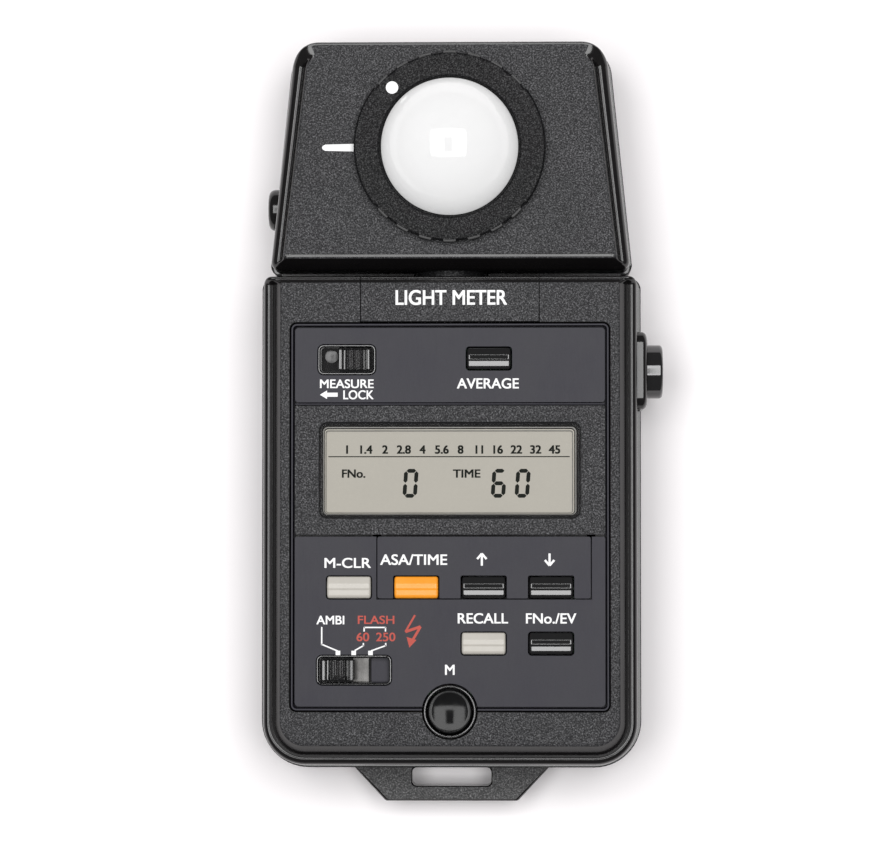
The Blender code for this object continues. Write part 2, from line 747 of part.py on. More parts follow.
def make_memory_button():
    """A dished round button, flanged below its ring."""
    top = THICKNESS + 0.3 - KEY_BASE_Z
    profile = [
        (0, 0),
        (MEMORY_RADIUS + 0.7, 0),
        (MEMORY_RADIUS + 0.7, 1.0),
        (MEMORY_RADIUS, 1.0),
        (MEMORY_RADIUS, top - 0.3),
        (MEMORY_RADIUS - 0.4, top),
        (2.2, top - 0.5),
        (0, top - 0.7),
    ]
    place(turned("memory_button", profile, "gloss_black"), (*MEMORY_PLACE, KEY_BASE_Z))


# Display


def make_lcd_window():
    size = (WINDOW_SIZE[0] - 2 * GAP, WINDOW_SIZE[1] - 2 * GAP)
    outline = centred_outline((0, WINDOW_CENTRE_Y), size, 1.0)
    prism("lcd_window", outline, (PANEL_LOW_Z + 0.4, PANEL_TOP_Z - 0.3), "clear")


def make_lcd_glass():
    prism("lcd_glass", centred_outline((0, WINDOW_CENTRE_Y), (53, 21), 0.4), (20.6, 22.3), "display_grey")


def make_lcd_reflector():
    outline = centred_outline((0, WINDOW_CENTRE_Y), (49, 14.6), 0.4)
    prism("lcd_reflector", outline, (18.9, 20.3), "light_grey")


def make_connector_strip(name, side):
    """A rubber strip that joins the display's edge contacts to the board."""
    y = WINDOW_CENTRE_Y + side * 9.2
    block(name, (-24, 24), (y - 0.8, y + 0.8), (BOARD_Z[1] + GAP, 20.3), "rubber_grey")


# Electronics


def make_main_circuit_board():
    prism("main_circuit_board", box_outline(-28, 28, -54, 15, 2.0), BOARD_Z, "board_green")


def make_processor_chip():
    block("processor_chip", (-7, 7), (-17, -3), (14.6, BOARD_Z[0] - GAP), "gloss_black")


def make_key_mat():
    """The rubber sheet under the lower keys and the memory button."""
    left = FIELD_KEY_X - 2 * KEY_COLUMN - KEY_WIDTH / 2
    right = FIELD_KEY_X + KEY_COLUMN + KEY_WIDTH / 2
    prism("key_mat", box_outline(left, right, -53.0, FIELD_KEY_Y + 4, 1.5), MAT_Z, "rubber_grey")


def make_average_switch():
    x, y = UPPER_KEY
    block("average_switch", (x - 3, x + 3), (y - 2, y + 2), MAT_Z, "rubber_grey")


def make_measuring_switch():
    y = SIDE_BUTTON_Y
    z_range = (SPLIT_Z - 3.5, SPLIT_Z + 3.5)
    block("measuring_switch", (23.5, 28.6), (y - 3.5, y + 3.5), z_range, "gloss_black")


# Side button


def make_button_collar():
    depth, height = COLLAR_SIZE
    full = centred_outline((0, 0), (depth, height), 2.5)
    tip = centred_outline((0, 0), (depth - 2.0, height - 2.0), 2.0)
    wall = BODY_HALF_WIDTH + 0.2 - COLLAR_START
    length = COLLAR_END - COLLAR_START
    collar = loft("button_collar", [(full, 0), (full, wall), (tip, length)], "smooth_black")
    place(collar, (COLLAR_START, SIDE_BUTTON_Y, SPLIT_Z), ALONG_X)
    bore = cylinders("collar_bore", [(0, 0)], SIDE_BUTTON_RADIUS + RUNNING, (-1, length + 1), ROUND_STEPS)
    place(bore, (COLLAR_START, SIDE_BUTTON_Y, SPLIT_Z), ALONG_X)
    apply_tool(collar, bore)


def make_measuring_button():
    """The round side button, with the flange and the plunger behind its collar."""
    start = 31.0
    flange = COLLAR_START - 1.4 - start
    length = SIDE_BUTTON_END - start
    radius = SIDE_BUTTON_RADIUS
    profile = [
        (0, 0),
        (1.5, 0),
        (1.5, flange),
        (radius + 1.0, flange),
        (radius + 1.0, flange + 1.1),
        (radius, flange + 1.1),
        (radius, length - 0.7),
        (radius - 0.6, length - 0.2),
        (radius * 0.5, length - 0.03),
        (0, length),
    ]
    place(turned("measuring_button", profile, "gloss_black"), (start, SIDE_BUTTON_Y, SPLIT_Z), ALONG_X)


# Strap lug


def make_strap_lug():
    """A plate held in the back shell's lower wall, with a slot for the wrist strap."""
    tang_half, tang_end = LUG_TANG
    root = BODY_BOTTOM - GAP
    low_half, root_half = LUG_HALF_WIDTHS
    corners = [(-low_half, LUG_LOW), (low_half, LUG_LOW), (root_half, root)]
    corners += [(tang_half, root), (tang_half, tang_end)]
    corners += [(-x, y) for x, y in reversed(corners[2:])]
    outline = rounded_polygon(corners, [1.0, 1.0, 0, 0, 0, 0, 0, 0])
    width, height = LUG_SLOT
    slot = box_outline(-width / 2, width / 2, root - height, root, 1.0)
    prism("strap_lug", outline, LUG_Z, "grained_black", [slot])


# Battery


def make_battery():
    profile = [(0, 0), (BATTERY_RADIUS, 0), (BATTERY_RADIUS, BATTERY_LENGTH - 1)]
    profile += [(3.0, BATTERY_LENGTH - 1), (3.0, BATTERY_LENGTH), (0, BATTERY_LENGTH)]
    start = BATTERY_Y - BATTERY_LENGTH / 2
    place(turned("battery", profile, "steel", 32), (0, start, FLOOR_Z + 0.4 + BATTERY_RADIUS), ALONG_Y)


def make_battery_contact():
    y = BATTERY_Y + BATTERY_LENGTH / 2 + GAP
    block("battery_contact", (-4, 4), (y, y + 0.5), (5.5, 14.3), "brass")


def make_battery_spring():
    """A coil spring that presses on the battery's flat end."""
    turns, steps, radius, length = 3, 14, 3.6, 3.4
    points = []
    for step in range(turns * steps + 1):
        angle = 2 * math.pi * step / steps
        along = length * step / (turns * steps)
        points.append((radius * math.cos(angle) * MM, radius * math.sin(angle) * MM, along * MM))
    curve = bpy.data.curves.new("battery_spring", "CURVE")
    curve.dimensions = "3D"
    curve.bevel_depth = 0.35 * MM
    curve.bevel_resolution = 1
    curve.use_fill_caps = True
    spline = curve.splines.new("POLY")
    spline.points.add(len(points) - 1)
    for index, point in enumerate(points):
        spline.points[index].co = (*point, 1.0)
    curve.materials.append(material("steel"))
    spring = bpy.data.objects.new("battery_spring", curve)
    bpy.context.scene.collection.objects.link(spring)
    end = BATTERY_Y - BATTERY_LENGTH / 2 - 0.4 - 0.35
    place(spring, (0, end - length, FLOOR_Z + 0.4 + BATTERY_RADIUS), ALONG_Y)


def make_battery_door():
    """A sliding door flush with the back."""
    half = DOOR_HALF_WIDTH
    prism("battery_door", box_outline(-half, half, *DOOR_Y, 0.8), DOOR_Z, "grained_black")


# Screws


def make_screw(name, centre):
    """A flat-headed screw that sits below the back's surface."""
    head_low, head_high = SCREW_HEAD_Z
    profile = [
        (0, head_low),
        (SCREW_HEAD_RADIUS, head_low),
        (SCREW_HEAD_RADIUS, head_high),
        (SCREW_RADIUS, head_high),
        (SCREW_RADIUS, SCREW_END_Z),
        (0, SCREW_END_Z),
    ]
    return place(turned(name, profile, "steel", 16), (*centre, 0))


def add_axis(name, location, pieces):
    """An empty on a joint's axis, to which the pieces that turn about it are parented."""
    axis = bpy.data.objects.new(name, None)
    axis.location = Vector(location) * MM
    bpy.context.scene.collection.objects.link(axis)
    for piece in pieces:
        piece.parent = axis
        piece.location -= axis.location
    return axis


def make_body():
    make_rear_case()
    make_front_case()
    make_swivel_cover()
    make_swivel_bearing()
    make_panel_frame()
    make_upper_control_panel()
    make_display_bezel()
    make_lower_control_panel()
    make_key_field_plate()
    make_switch_bezel("lock_switch_bezel", LOCK_SLOT, LOCK_SLOT_SIZE)
    make_switch_bezel("mode_switch_bezel", MODE_SLOT, MODE_SLOT_SIZE)
    make_memory_button_ring()
    make_button_collar()
    make_strap_lug()
    for number, centre in enumerate(SCREW_PLACES, 1):
        make_screw(f"case_screw_{number}", centre)


def make_inside():
    make_lcd_window()
    make_lcd_glass()
    make_lcd_reflector()
    make_connector_strip("upper_connector_strip", 1)
    make_connector_strip("lower_connector_strip", -1)
    make_main_circuit_board()
    make_processor_chip()
    make_key_mat()
    make_average_switch()
    make_measuring_switch()
    make_battery()
    make_battery_contact()
    make_battery_spring()


def make_controls():
    for name in KEYS:
        make_key(name)
    make_slide_knob("measure_lock_slider", LOCK_KNOB_X, LOCK_SLOT[1])
    make_slide_knob("mode_slider", MODE_KNOB_X, MODE_SLOT[1])
    make_memory_button()
    make_measuring_button()
    make_battery_door()


def make_head():
    diffuser = [make_diffuser_ring(), make_dome_diffuser()]
    twist = add_axis("diffuser_axis", (0, RECEPTOR_Y, 0), diffuser)
    pieces = [
        make_head_front_case(),
        make_head_rear_case(),
        make_swivel_neck(),
        make_neck_retainer(),
        make_receptor_base(),
        make_photocell(),
        make_correction_filter(),
        make_sensor_board(),
        make_sync_terminal(),
    ]
    pieces += [make_screw(f"head_screw_{number}", at) for number, at in enumerate(HEAD_SCREW_PLACES, 1)]
    add_axis("swivel_axis", (0, HEAD_LOW, SPLIT_Z), [*pieces, twist])


def main():
    clear_scene()
    make_body()
    make_inside()
    make_controls()
    make_head()


main()
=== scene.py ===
import math

import bmesh
import bpy
from mathutils import Matrix, Vector


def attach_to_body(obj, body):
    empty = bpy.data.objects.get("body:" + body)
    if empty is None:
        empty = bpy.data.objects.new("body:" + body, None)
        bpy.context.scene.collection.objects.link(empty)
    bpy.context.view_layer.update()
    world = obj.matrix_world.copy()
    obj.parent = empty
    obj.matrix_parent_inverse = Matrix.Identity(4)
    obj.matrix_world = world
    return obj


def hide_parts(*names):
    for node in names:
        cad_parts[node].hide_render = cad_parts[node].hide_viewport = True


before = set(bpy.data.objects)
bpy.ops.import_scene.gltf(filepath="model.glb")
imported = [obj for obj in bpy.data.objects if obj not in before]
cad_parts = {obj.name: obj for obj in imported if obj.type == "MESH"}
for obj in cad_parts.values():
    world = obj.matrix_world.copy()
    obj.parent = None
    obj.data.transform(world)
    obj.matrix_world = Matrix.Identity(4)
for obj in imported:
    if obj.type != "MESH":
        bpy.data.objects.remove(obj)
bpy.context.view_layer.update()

MM = 0.001  # metres in one millimetre; sizes below are in millimetres
COVER_GLOSS = 0.45  # share of plain plastic's reflection that the coated cover shows

# Case
SPLIT_Z = 12.5
SEAM = 0.15  # half the gap between the front and rear shells
WALL = 2.0
SHELL_STEP = 1.0
FLOOR_Z = 3.0
CEILING_Z = 22.8
BODY = {"half": 38.0, "top": 29.3, "low": -68.65, "top_radius": 2.2, "low_radius": 9.4, "top_share": 0.36,
        "low_share": 1.12}
HEAD = {"low_half": 36.5, "top_half": 31.7, "low": 29.7, "top": 76.1, "low_radius": 2.2, "top_radius": 6.3}
CORNER_STEPS = 14
# Step in from the outline, then the height there along the sides, the top edge and the low edge
BODY_EDGE = (
    (1.0, 20.8, 23.6, 20.8),
    (1.03, 21.6, 23.9, 21.6),
    (1.12, 22.1, 24.15, 22.1),
    (1.3, 22.5, 24.35, 22.5),
    (1.55, 22.78, 24.46, 22.78),
    (1.8, 22.93, 24.5, 22.93),
    (2.1, 23.0, 24.5, 23.0),
    (2.35, 22.96, 24.46, 22.96),
    (2.6, 22.82, 24.42, 22.82),
    (2.8, 22.64, 24.42, 22.64),
    (2.86, 22.6, 24.43, 22.6),
    (3.2, 22.95, 24.5, 22.95),
    (3.6, 23.45, 24.57, 23.45),
    (4.0, 24.0, 24.64, 24.0),
    (4.3, 24.45, 24.7, 24.45),
    (4.45, 24.68, 24.76, 24.68),
    (4.55, 24.82, 24.85, 24.82),
    (4.66, 24.92, 24.93, 24.9),
    (4.8, 24.965, 24.985, 24.95),
    (4.95, 24.985, 25.0, 24.972),
    (5.2, 25.0, 25.0, 24.985),
    (5.55, 25.0, 25.0, 25.0),
)
HEAD_EDGE = (
    (1.0, 20.8, 24.3, 21.2),
    (1.1, 21.5, 24.72, 21.45),
    (1.35, 22.1, 24.92, 21.9),
    (1.75, 22.5, 24.96, 22.3),
    (2.2, 22.8, 24.985, 22.75),
    (2.7, 22.97, 24.985, 23.25),
    (3.1, 23.0, 24.985, 23.6),
    (3.4, 22.93, 24.985, 23.85),
    (3.6, 22.8, 24.985, 24.02),
    (3.68, 22.75, 24.985, 24.09),
    (3.95, 23.4, 24.985, 24.31),
    (4.15, 24.0, 24.985, 24.49),
    (4.3, 24.45, 24.985, 24.63),
    (4.42, 24.72, 24.985, 24.73),
    (4.55, 24.88, 24.985, 24.81),
    (4.7, 24.95, 24.985, 24.86),
    (4.9, 24.985, 24.99, 24.895),
    (5.1, 25.0, 25.0, 24.918),
    (5.75, 25.0, 25.0, 24.985),
    (5.95, 25.0, 25.0, 25.0),
)
GRAIN_FROM = 4.5  # the grained face starts at this step in
SWIVEL_RADII = (7.5, 9.45)  # of the neck's holes in the head and in the case
SIDE_HOLE = (15.9, 15.7, 2.75)  # height, width and corner radius of the opening for the side button's collar
COVER_SEAT = ((22.5, 27.0), 31.0)  # heights of the cut for the swivel's cover, and its far end
# x, y and z ranges cut out of the rear shell
LUG_SEAT = ((-16.3, 16.3), (-71.0, -63.4), (3.15, 8.7))
DOOR_SEAT = ((-11.25, 11.25), (-72.0, -34.2), (-1.0, 1.75))
BATTERY_BAY = ((-8.3, 8.3), (-60.5, -36.0), (-2.0, 4.0))

# Receptor
RECEPTOR_Y = 54.3
RING_RADIUS = 18.9
NOTCH_DEPTH = 0.32
RING_TOP_Z = 27.6
# The lands' outer top edges get a lighter painted highlight within these angles.
LAND_LOW, LAND_HIGH = 38.0, 142.0  # degrees from +X, either way, over which the lands catch the light
DOME_RADIUS = 13.5
DOME_BASE_Z = 26.6
DOME_HEIGHT = 12.0
SYNC_Y = 43.1
SYNC_ROOT_X = -30.6

# Panel
OPENING = (-31.5, 31.5, -56.84, 19.72)
PANEL_Z = (22.6, 24.9)
PANEL_HALF = 30.55
UPPER_PANEL = (3.95, 18.7)
DISPLAY_PANEL = (-22.05, 3.35)
LOWER_PANEL = (-55.85, -22.45)
FIELD = (-14.25, 27.7, -34.6)
FIELD_Z = 25.15
COVER_HALF = 17.7
WINDOW_Y = -9.4
WINDOW_SIZE = (50.8, 18.2)
WINDOW_GROOVE = 0.42  # dark groove round the window
LCD_BOX = (-24.4, 24.1, -17.7, -1.7)
LCD_Z = 23.7

# Controls
KEY_SIZE = (8.65, 4.3)
KEYS = {
    "average_key": (7.7, 12.6, "gloss_black"),
    "memory_clear_key": (-19.85, -32.45, "light_grey"),
    "speed_key": (-6.6, -32.45, "orange"),
    "up_key": (6.65, -32.45, "gloss_black"),
    "down_key": (19.9, -32.45, "gloss_black"),
    "recall_key": (6.65, -43.45, "light_grey"),
    "f_number_key": (19.9, -43.45, "gloss_black"),
}
LOCK_SLOT = (-20.3, 12.4, 11.5, 6.0)
MODE_SLOT = (-18.85, -48.7, 14.9, 6.0)
LOCK_KNOB_X = -18.8
MODE_KNOB_X = -22.05
SLOT_FLOOR_Z = 23.0
MEMORY = (0.0, -56.8)
SIDE_Y = 10.5
SIDE_RADIUS = 5.35
SIDE_END = 42.4

# Strap lug and screws
LUG_LOW = -75.7
LUG_HALVES = (13.3, 19.6)
LUG_Z = (3.4, 8.4)
CASE_SCREWS = ((-26.0, 24.0), (26.0, 24.0), (-26.0, -60.5), (26.0, -60.5))
HEAD_SCREWS = ((-26.0, 36.7), (26.0, 36.7), (-22.0, 68.0), (22.0, 68.0))


# Materials

MATERIALS = {}


class Finish:
    """The node graph of one material, built from the shader back."""

    def __init__(self, name):
        self.material = bpy.data.materials.new(name)
        self.material.use_nodes = True
        self.tree = self.material.node_tree
        self.shader = self.tree.nodes["Principled BSDF"]
        self.place = self.node("ShaderNodeTexCoord").outputs["Object"]
        MATERIALS[name] = self.material

    def node(self, kind, inputs=None, **settings):
        made = self.tree.nodes.new(kind)
        for key, value in settings.items():
            setattr(made, key, value)
        for key, value in (inputs or {}).items():
            self.set(made.inputs[key], value)
        return made

    def set(self, socket, value):
        if isinstance(value, bpy.types.NodeSocket):
            self.tree.links.new(value, socket)
        else:
            socket.default_value = value

    def put(self, **values):
        """Sets inputs of the shader. The spaces in their names are written as underscores."""
        for key, value in values.items():
            self.set(self.shader.inputs[key.replace("_", " ")], value)

    def noise(self, scale, detail=3.0, roughness=0.55, where=None):
        inputs = {"Vector": where or self.place, "Scale": scale, "Detail": detail, "Roughness": roughness}
        return self.node("ShaderNodeTexNoise", inputs).outputs["Fac"]

    def cells(self, scale, feature="F1", where=None):
        inputs = {"Vector": where or self.place, "Scale": scale}
        return self.node("ShaderNodeTexVoronoi", inputs, feature=feature).outputs["Distance"]

    def span(self, value, low, high, start=0.0, end=1.0):
        inputs = {"Value": value, "From Min": low, "From Max": high, "To Min": start, "To Max": end}
        return self.node("ShaderNodeMapRange", inputs).outputs["Result"]

    def calc(self, operation, first, second):
        return self.node("ShaderNodeMath", {0: first, 1: second}, operation=operation).outputs[0]

    def times(self, first, second):
        return self.calc("MULTIPLY", first, second)

    def mix(self, share, first, second):
        return self.node("ShaderNodeMix", {0: share, 6: first, 7: second}, data_type="RGBA").outputs[2]

    def bump(self, height, depth, normal=None):
        inputs = {"Height": height, "Distance": depth * MM, "Strength": 1.0}
        if normal is not None:
            inputs["Normal"] = normal
        return self.node("ShaderNodeBump", inputs).outputs["Normal"]

    def rounded(self, radius):
        return self.node("ShaderNodeBevel", {"Radius": radius * MM}, samples=4).outputs["Normal"]

    def edges(self, soft):
        """1 on an edge and 0 on a flat, from how far the rounded normal turns."""
        flat = self.node("ShaderNodeNewGeometry").outputs["Normal"]
        made = self.node("ShaderNodeVectorMath", {0: soft, 1: flat}, operation="DOT_PRODUCT")
        return self.span(made.outputs["Value"], 0.995, 0.9)


def rgba(colour):
    return (*colour, 1.0)


def scaled(colour, share):
    return tuple(min(part * share, 1.0) for part in colour)


def surface(name, colour, roughness, mottle=0.15, depth=0.004, fine=1400.0, edge=0.08, wear_and_sheen=0.0, **sockets):
    """Mottled colour, uneven roughness, a fine bump with scratches, and rounded edges made lighter, partly as
    wear and partly as a painted highlight.
    """
    made = Finish(name)
    broad = made.noise(90.0, 4.0)
    fleck = made.noise(fine, 2.0, 0.6)
    stretch = made.node("ShaderNodeMapping", {"Vector": made.place, "Scale": (1.0, 0.06, 1.0)})
    scratch = made.noise(fine * 1.5, 1.0, 0.5, stretch.outputs["Vector"])
    tone = made.calc("ADD", made.times(broad, 0.6), made.times(fleck, 0.4))
    share = made.span(tone, 0.35, 0.65)
    tint = made.mix(share, rgba(scaled(colour, 1 - mottle)), rgba(scaled(colour, 1 + mottle)))
    soft = made.rounded(edge)
    # Lighter edges: partly wear, partly a painted highlight along them.
    if wear_and_sheen:
        edge_wear_and_sheen = made.times(made.edges(soft), made.span(made.noise(260.0, 3.0), 0.4, 0.6))
        lighter = tuple(part + 0.12 for part in colour)
        tint = made.mix(made.times(edge_wear_and_sheen, wear_and_sheen), tint, rgba(lighter))
    low, high = roughness
    uneven = made.calc("ADD", made.times(broad, 0.7), made.times(scratch, 0.3))
    normal = made.bump(fleck, depth, soft)
    normal = made.bump(made.span(scratch, 0.62, 0.7), depth * 0.35, normal)
    made.put(Base_Color=tint, Roughness=made.span(uneven, 0.35, 0.65, low, high), Normal=normal, **sockets)


def grained(name, dark, light, scale=4200.0, depth=0.04):
    """Moulded leather-like grain: pebbles that run together, darker between them as painted shade, with a
    painted highlight on their crests.
    """
    made = Finish(name)
    sway = made.node("ShaderNodeTexNoise", {"Vector": made.place, "Scale": scale * 0.4, "Detail": 2.0})
    shift = made.node("ShaderNodeVectorMath", {0: sway.outputs["Color"]}, operation="SCALE")
    shift.inputs["Scale"].default_value = 1.2 / scale
    moved = made.node("ShaderNodeVectorMath", {0: made.place, 1: shift.outputs["Vector"]}, operation="ADD")
    pebble = made.cells(scale, "SMOOTH_F1", moved.outputs["Vector"])
    worm = made.noise(scale * 0.75, 2.0, 0.6, moved.outputs["Vector"])
    height = made.calc("SUBTRACT", made.times(worm, 1.3), made.times(pebble, 0.8))
    broad = made.noise(60.0, 4.0)
    raised = made.span(height, 0.04, 0.72)
    uneven = made.span(broad, 0.25, 0.75, 0.8, 1.2)
    # Lighter, shinier crests and darker hollows: a painted highlight on the grain's crests and painted shade
    # between its pebbles.
    crest_light_and_shade = made.times(raised, made.times(raised, uneven))
    tint = made.mix(crest_light_and_shade, rgba(dark), rgba(light))
    soft = made.rounded(0.1)
    # Lighter edges: partly wear, partly a painted highlight along them.
    edge_wear_and_sheen = made.times(made.edges(soft), made.span(made.noise(900.0), 0.4, 0.6))
    tint = made.mix(made.times(edge_wear_and_sheen, 0.5), tint, rgba((0.1, 0.1, 0.1)))
    made.put(Base_Color=tint, Roughness=made.span(broad, 0.3, 0.7, 0.3, 0.4),
             Normal=made.bump(height, depth, soft), Specular_IOR_Level=made.span(crest_light_and_shade, 0.0, 1.0, 0.04, 0.3))


def opal():
    """Milky plastic that carries light through itself, and glows with a painted light of its own."""
    made = Finish("opal_white")
    broad = made.noise(70.0, 3.0)
    fine = made.noise(2200.0, 2.0)
    tint = made.mix(made.span(broad, 0.3, 0.7), (0.42, 0.42, 0.418, 1), (0.44, 0.44, 0.44, 1))
    made.put(Base_Color=tint, Roughness=made.span(broad, 0.3, 0.7, 0.03, 0.06), Normal=made.bump(fine, 0.0006),
             Subsurface_Weight=1.0, Subsurface_Radius=(1.0, 1.0, 1.0), Subsurface_Scale=0.006, IOR=1.47)
    # Painted glow: the milky dome gives off light of its own, so it shows bright all round, even where no lamp
    # reaches
    made.put(Emission_Color=(0.985, 0.985, 0.985, 1.0), Emission_Strength=0.455)


def cover_glass():
    """The display's clear cover: seen through, with a little gloss and faint smears."""
    made = Finish("clear")
    smear = made.noise(160.0, 4.0)
    gloss = made.node("ShaderNodeBsdfGlossy", {"Color": (1, 1, 1, 1)})
    made.set(gloss.inputs["Roughness"], made.span(smear, 0.3, 0.7, 0.02, 0.07))
    made.set(gloss.inputs["Normal"], made.bump(made.noise(300.0, 2.0), 0.0008))
    through = made.node("ShaderNodeBsdfTransparent")
    through.inputs["Color"].default_value = (0.985, 0.985, 0.975, 1)
    amount = made.node("ShaderNodeFresnel", {"IOR": 1.46}).outputs[0]
    inside = made.node("ShaderNodeNewGeometry").outputs["Backfacing"]
    amount = made.times(amount, made.calc("SUBTRACT", 1.0, inside))
    amount = made.times(amount, COVER_GLOSS)
    both = made.node("ShaderNodeMixShader", {0: amount, 1: through.outputs[0], 2: gloss.outputs[0]})
    output = made.tree.nodes["Material Output"]
    made.tree.links.new(both.outputs[0], output.inputs["Surface"])
    made.tree.nodes.remove(made.shader)


def board():
    """A green circuit board with copper tracks under the lacquer."""
    made = Finish("board_green")
    tracks = made.node("ShaderNodeTexBrick", {"Vector": made.place, "Scale": 300.0, "Mortar Size": 0.12})
    turned_tracks = made.noise(420.0, 2.0)
    share = made.times(tracks.outputs["Fac"], made.span(turned_tracks, 0.4, 0.55))
    tint = made.mix(share, (0.02, 0.13, 0.05, 1), (0.10, 0.30, 0.10, 1))
    made.put(Base_Color=tint, Roughness=made.span(turned_tracks, 0.3, 0.7, 0.25, 0.45),
             Normal=made.bump(share, 0.03, made.rounded(0.05)))


def metal(name, colour, low=0.18, high=0.42):
    made = Finish(name)
    lines = made.node("ShaderNodeMapping", {"Vector": made.place, "Scale": (1.0, 1.0, 0.08)})
    brushed = made.noise(3200.0, 2.0, 0.6, lines.outputs["Vector"])
    stain = made.noise(320.0, 4.0)
    tint = made.mix(made.span(stain, 0.35, 0.7), rgba(colour), rgba(scaled(colour, 0.7)))
    made.put(Base_Color=tint, Metallic=1.0, Roughness=made.span(stain, 0.3, 0.7, low, high),
             Normal=made.bump(brushed, 0.004, made.rounded(0.08)))


def prints(name, colour, mottle):
    surface(name, colour, (0.5, 0.6), mottle=mottle, depth=0.002, edge=0.01, Specular_IOR_Level=0.1)


def glossy(name, roughness, level, depth=0.001):
    black = (0.006, 0.006, 0.0063)
    surface(name, black, roughness, depth=depth, edge=0.1, Specular_IOR_Level=level)


def make_materials():
    key = {"roughness": (0.28, 0.38), "depth": 0.003, "edge": 0.12}
    grained("grained_black", (0.02, 0.02, 0.0212), (0.112, 0.112, 0.118))
    grained("wall_black", (0.008, 0.008, 0.0085), (0.028, 0.028, 0.03), 3800.0, 0.03)
    surface("smooth_black", (0.0175, 0.0165, 0.0245), (0.42, 0.5), depth=0.006, fine=3600.0, wear_and_sheen=0.15,
            Specular_IOR_Level=0.25)
    surface("edge_black", (0.0055, 0.005, 0.0052), (0.1, 0.17), depth=0.0012, wear_and_sheen=0.1)
    glossy("gloss_black", (0.04, 0.08), 0.9)
    glossy("satin_black", (0.26, 0.34), 0.6, 0.003)
    glossy("button_black", (0.09, 0.16), 0.2)
    # Lighter grey for the ring's lands: a painted highlight on their outer edge.
    surface("land_highlight_grey", (0.075, 0.075, 0.075), (0.4, 0.5), depth=0.01, fine=2600.0, wear_and_sheen=0.3,
            Specular_IOR_Level=0.3)
    grained("ring_black", (0.005, 0.005, 0.0054), (0.021, 0.021, 0.0222), 4200.0, 0.015)
    grained("lug_black", (0.042, 0.042, 0.0425), (0.168, 0.168, 0.17), 4200.0, 0.03)
    surface("light_grey", (0.475, 0.452, 0.408), mottle=0.03, **key)
    surface("orange", (0.9, 0.32, 0.02), mottle=0.05, **key)
    opal()
    cover_glass()
    surface("display_grey", (0.408, 0.388, 0.356), (0.5, 0.6), mottle=0.02, depth=0.001, edge=0.02,
            Specular_IOR_Level=0.1)
    surface("segment_dark", (0.012, 0.014, 0.012), (0.5, 0.6), depth=0.0005, edge=0.01,
            Specular_IOR_Level=0.02)
    prints("print_white", (0.86, 0.86, 0.86), 0.04)
    prints("print_red", (0.47, 0.09, 0.07), 0.08)
    surface("bevel_grey", (0.16, 0.155, 0.15), (0.3, 0.4), depth=0.002, edge=0.05)
    board()
    metal("steel", (0.56, 0.56, 0.57))
    metal("brass", (0.72, 0.54, 0.26))
    metal("blade_grey", (0.085, 0.083, 0.081), 0.3, 0.45)
    surface("rubber_grey", (0.17, 0.17, 0.18), (0.7, 0.85), depth=0.01, fine=2000.0)


make_materials()
# The shells' finishes, by material index
SHELL_KINDS = ["edge_black", "grained_black", "wall_black"]


# Outlines: anticlockwise lists of (x, y, outward y)


def rounded(corners, radii, steps=CORNER_STEPS):
    points = []
    for index, corner in enumerate(corners):
        here = Vector(corner)
        back = (Vector(corners[index - 1]) - here).normalized()
        on = (Vector(corners[(index + 1) % len(corners)]) - here).normalized()
        radius = radii[index]
        outward = -(back + on).normalized()
        if radius == 0:
            points.append((here.x, here.y, outward.y))
            continue
        half = back.angle(on) / 2
        centre = here - outward * (radius / math.sin(half))
        start = here + back * (radius / math.tan(half)) - centre
        turn = math.pi - 2 * half
        if back.x * on.y - back.y * on.x > 0:  # the corner turns inwards
            turn = -turn
        for step in range(steps + 1):
            arm = Matrix.Rotation(turn * step / steps, 2) @ start
            points.append((centre.x + arm.x, centre.y + arm.y, arm.normalized().y))
    return points


def box(left, right, low, top, radius, steps=4):
    return rounded([(left, low), (right, low), (right, top), (left, top)], [radius] * 4, steps)


def centred(x, y, width, height, radius, steps=4):
    return box(x - width / 2, x + width / 2, y - height / 2, y + height / 2, radius, steps)


def circle(x, y, radius, steps=64):
    turns = [2 * math.pi * step / steps for step in range(steps)]
    return [(x + radius * math.cos(a), y + radius * math.sin(a), math.sin(a)) for a in turns]


def body_outline(inset):
    half = BODY["half"] - inset
    top = BODY["top"] - BODY["top_share"] * inset
    low = BODY["low"] + inset * BODY["low_share"]
    low_radius = max(BODY["low_radius"] - inset, 1.0)
    top_radius = max(BODY["top_radius"] - BODY["top_share"] * inset, 0.5)
    corners = [(-half, low), (half, low), (half, top), (-half, top)]
    return rounded(corners, [low_radius, low_radius, top_radius, top_radius])


def head_outline(inset):
    low_half = HEAD["low_half"] - 0.8 * inset
    top_half = HEAD["top_half"] - 0.8 * inset
    low = HEAD["low"] + 0.6 * inset
    top = HEAD["top"] - 0.8 * inset
    low_radius = max(HEAD["low_radius"] - 0.6 * inset, 0.5)
    top_radius = max(HEAD["top_radius"] - 0.8 * inset, 1.0)
    corners = [(-low_half, low), (low_half, low), (top_half, top), (-top_half, top)]
    return rounded(corners, [low_radius, low_radius, top_radius, top_radius])


# Meshes


def add_object(name, data):
    item = bpy.data.objects.new(name, data)
    bpy.context.scene.collection.objects.link(item)
    return item


def mesh_object(name, bm, kinds):
    """One object from a bmesh. kinds are its materials, by face index."""
    mesh = bpy.data.meshes.new(name)
    bm.to_mesh(mesh)
    bm.free()
    for kind in kinds:
        mesh.materials.append(MATERIALS[kind])
    return add_object(name, mesh)


def shade(mesh, sharp=35.0):
    mesh.shade_smooth()
    mesh.set_sharp_from_angle(angle=math.radians(sharp))


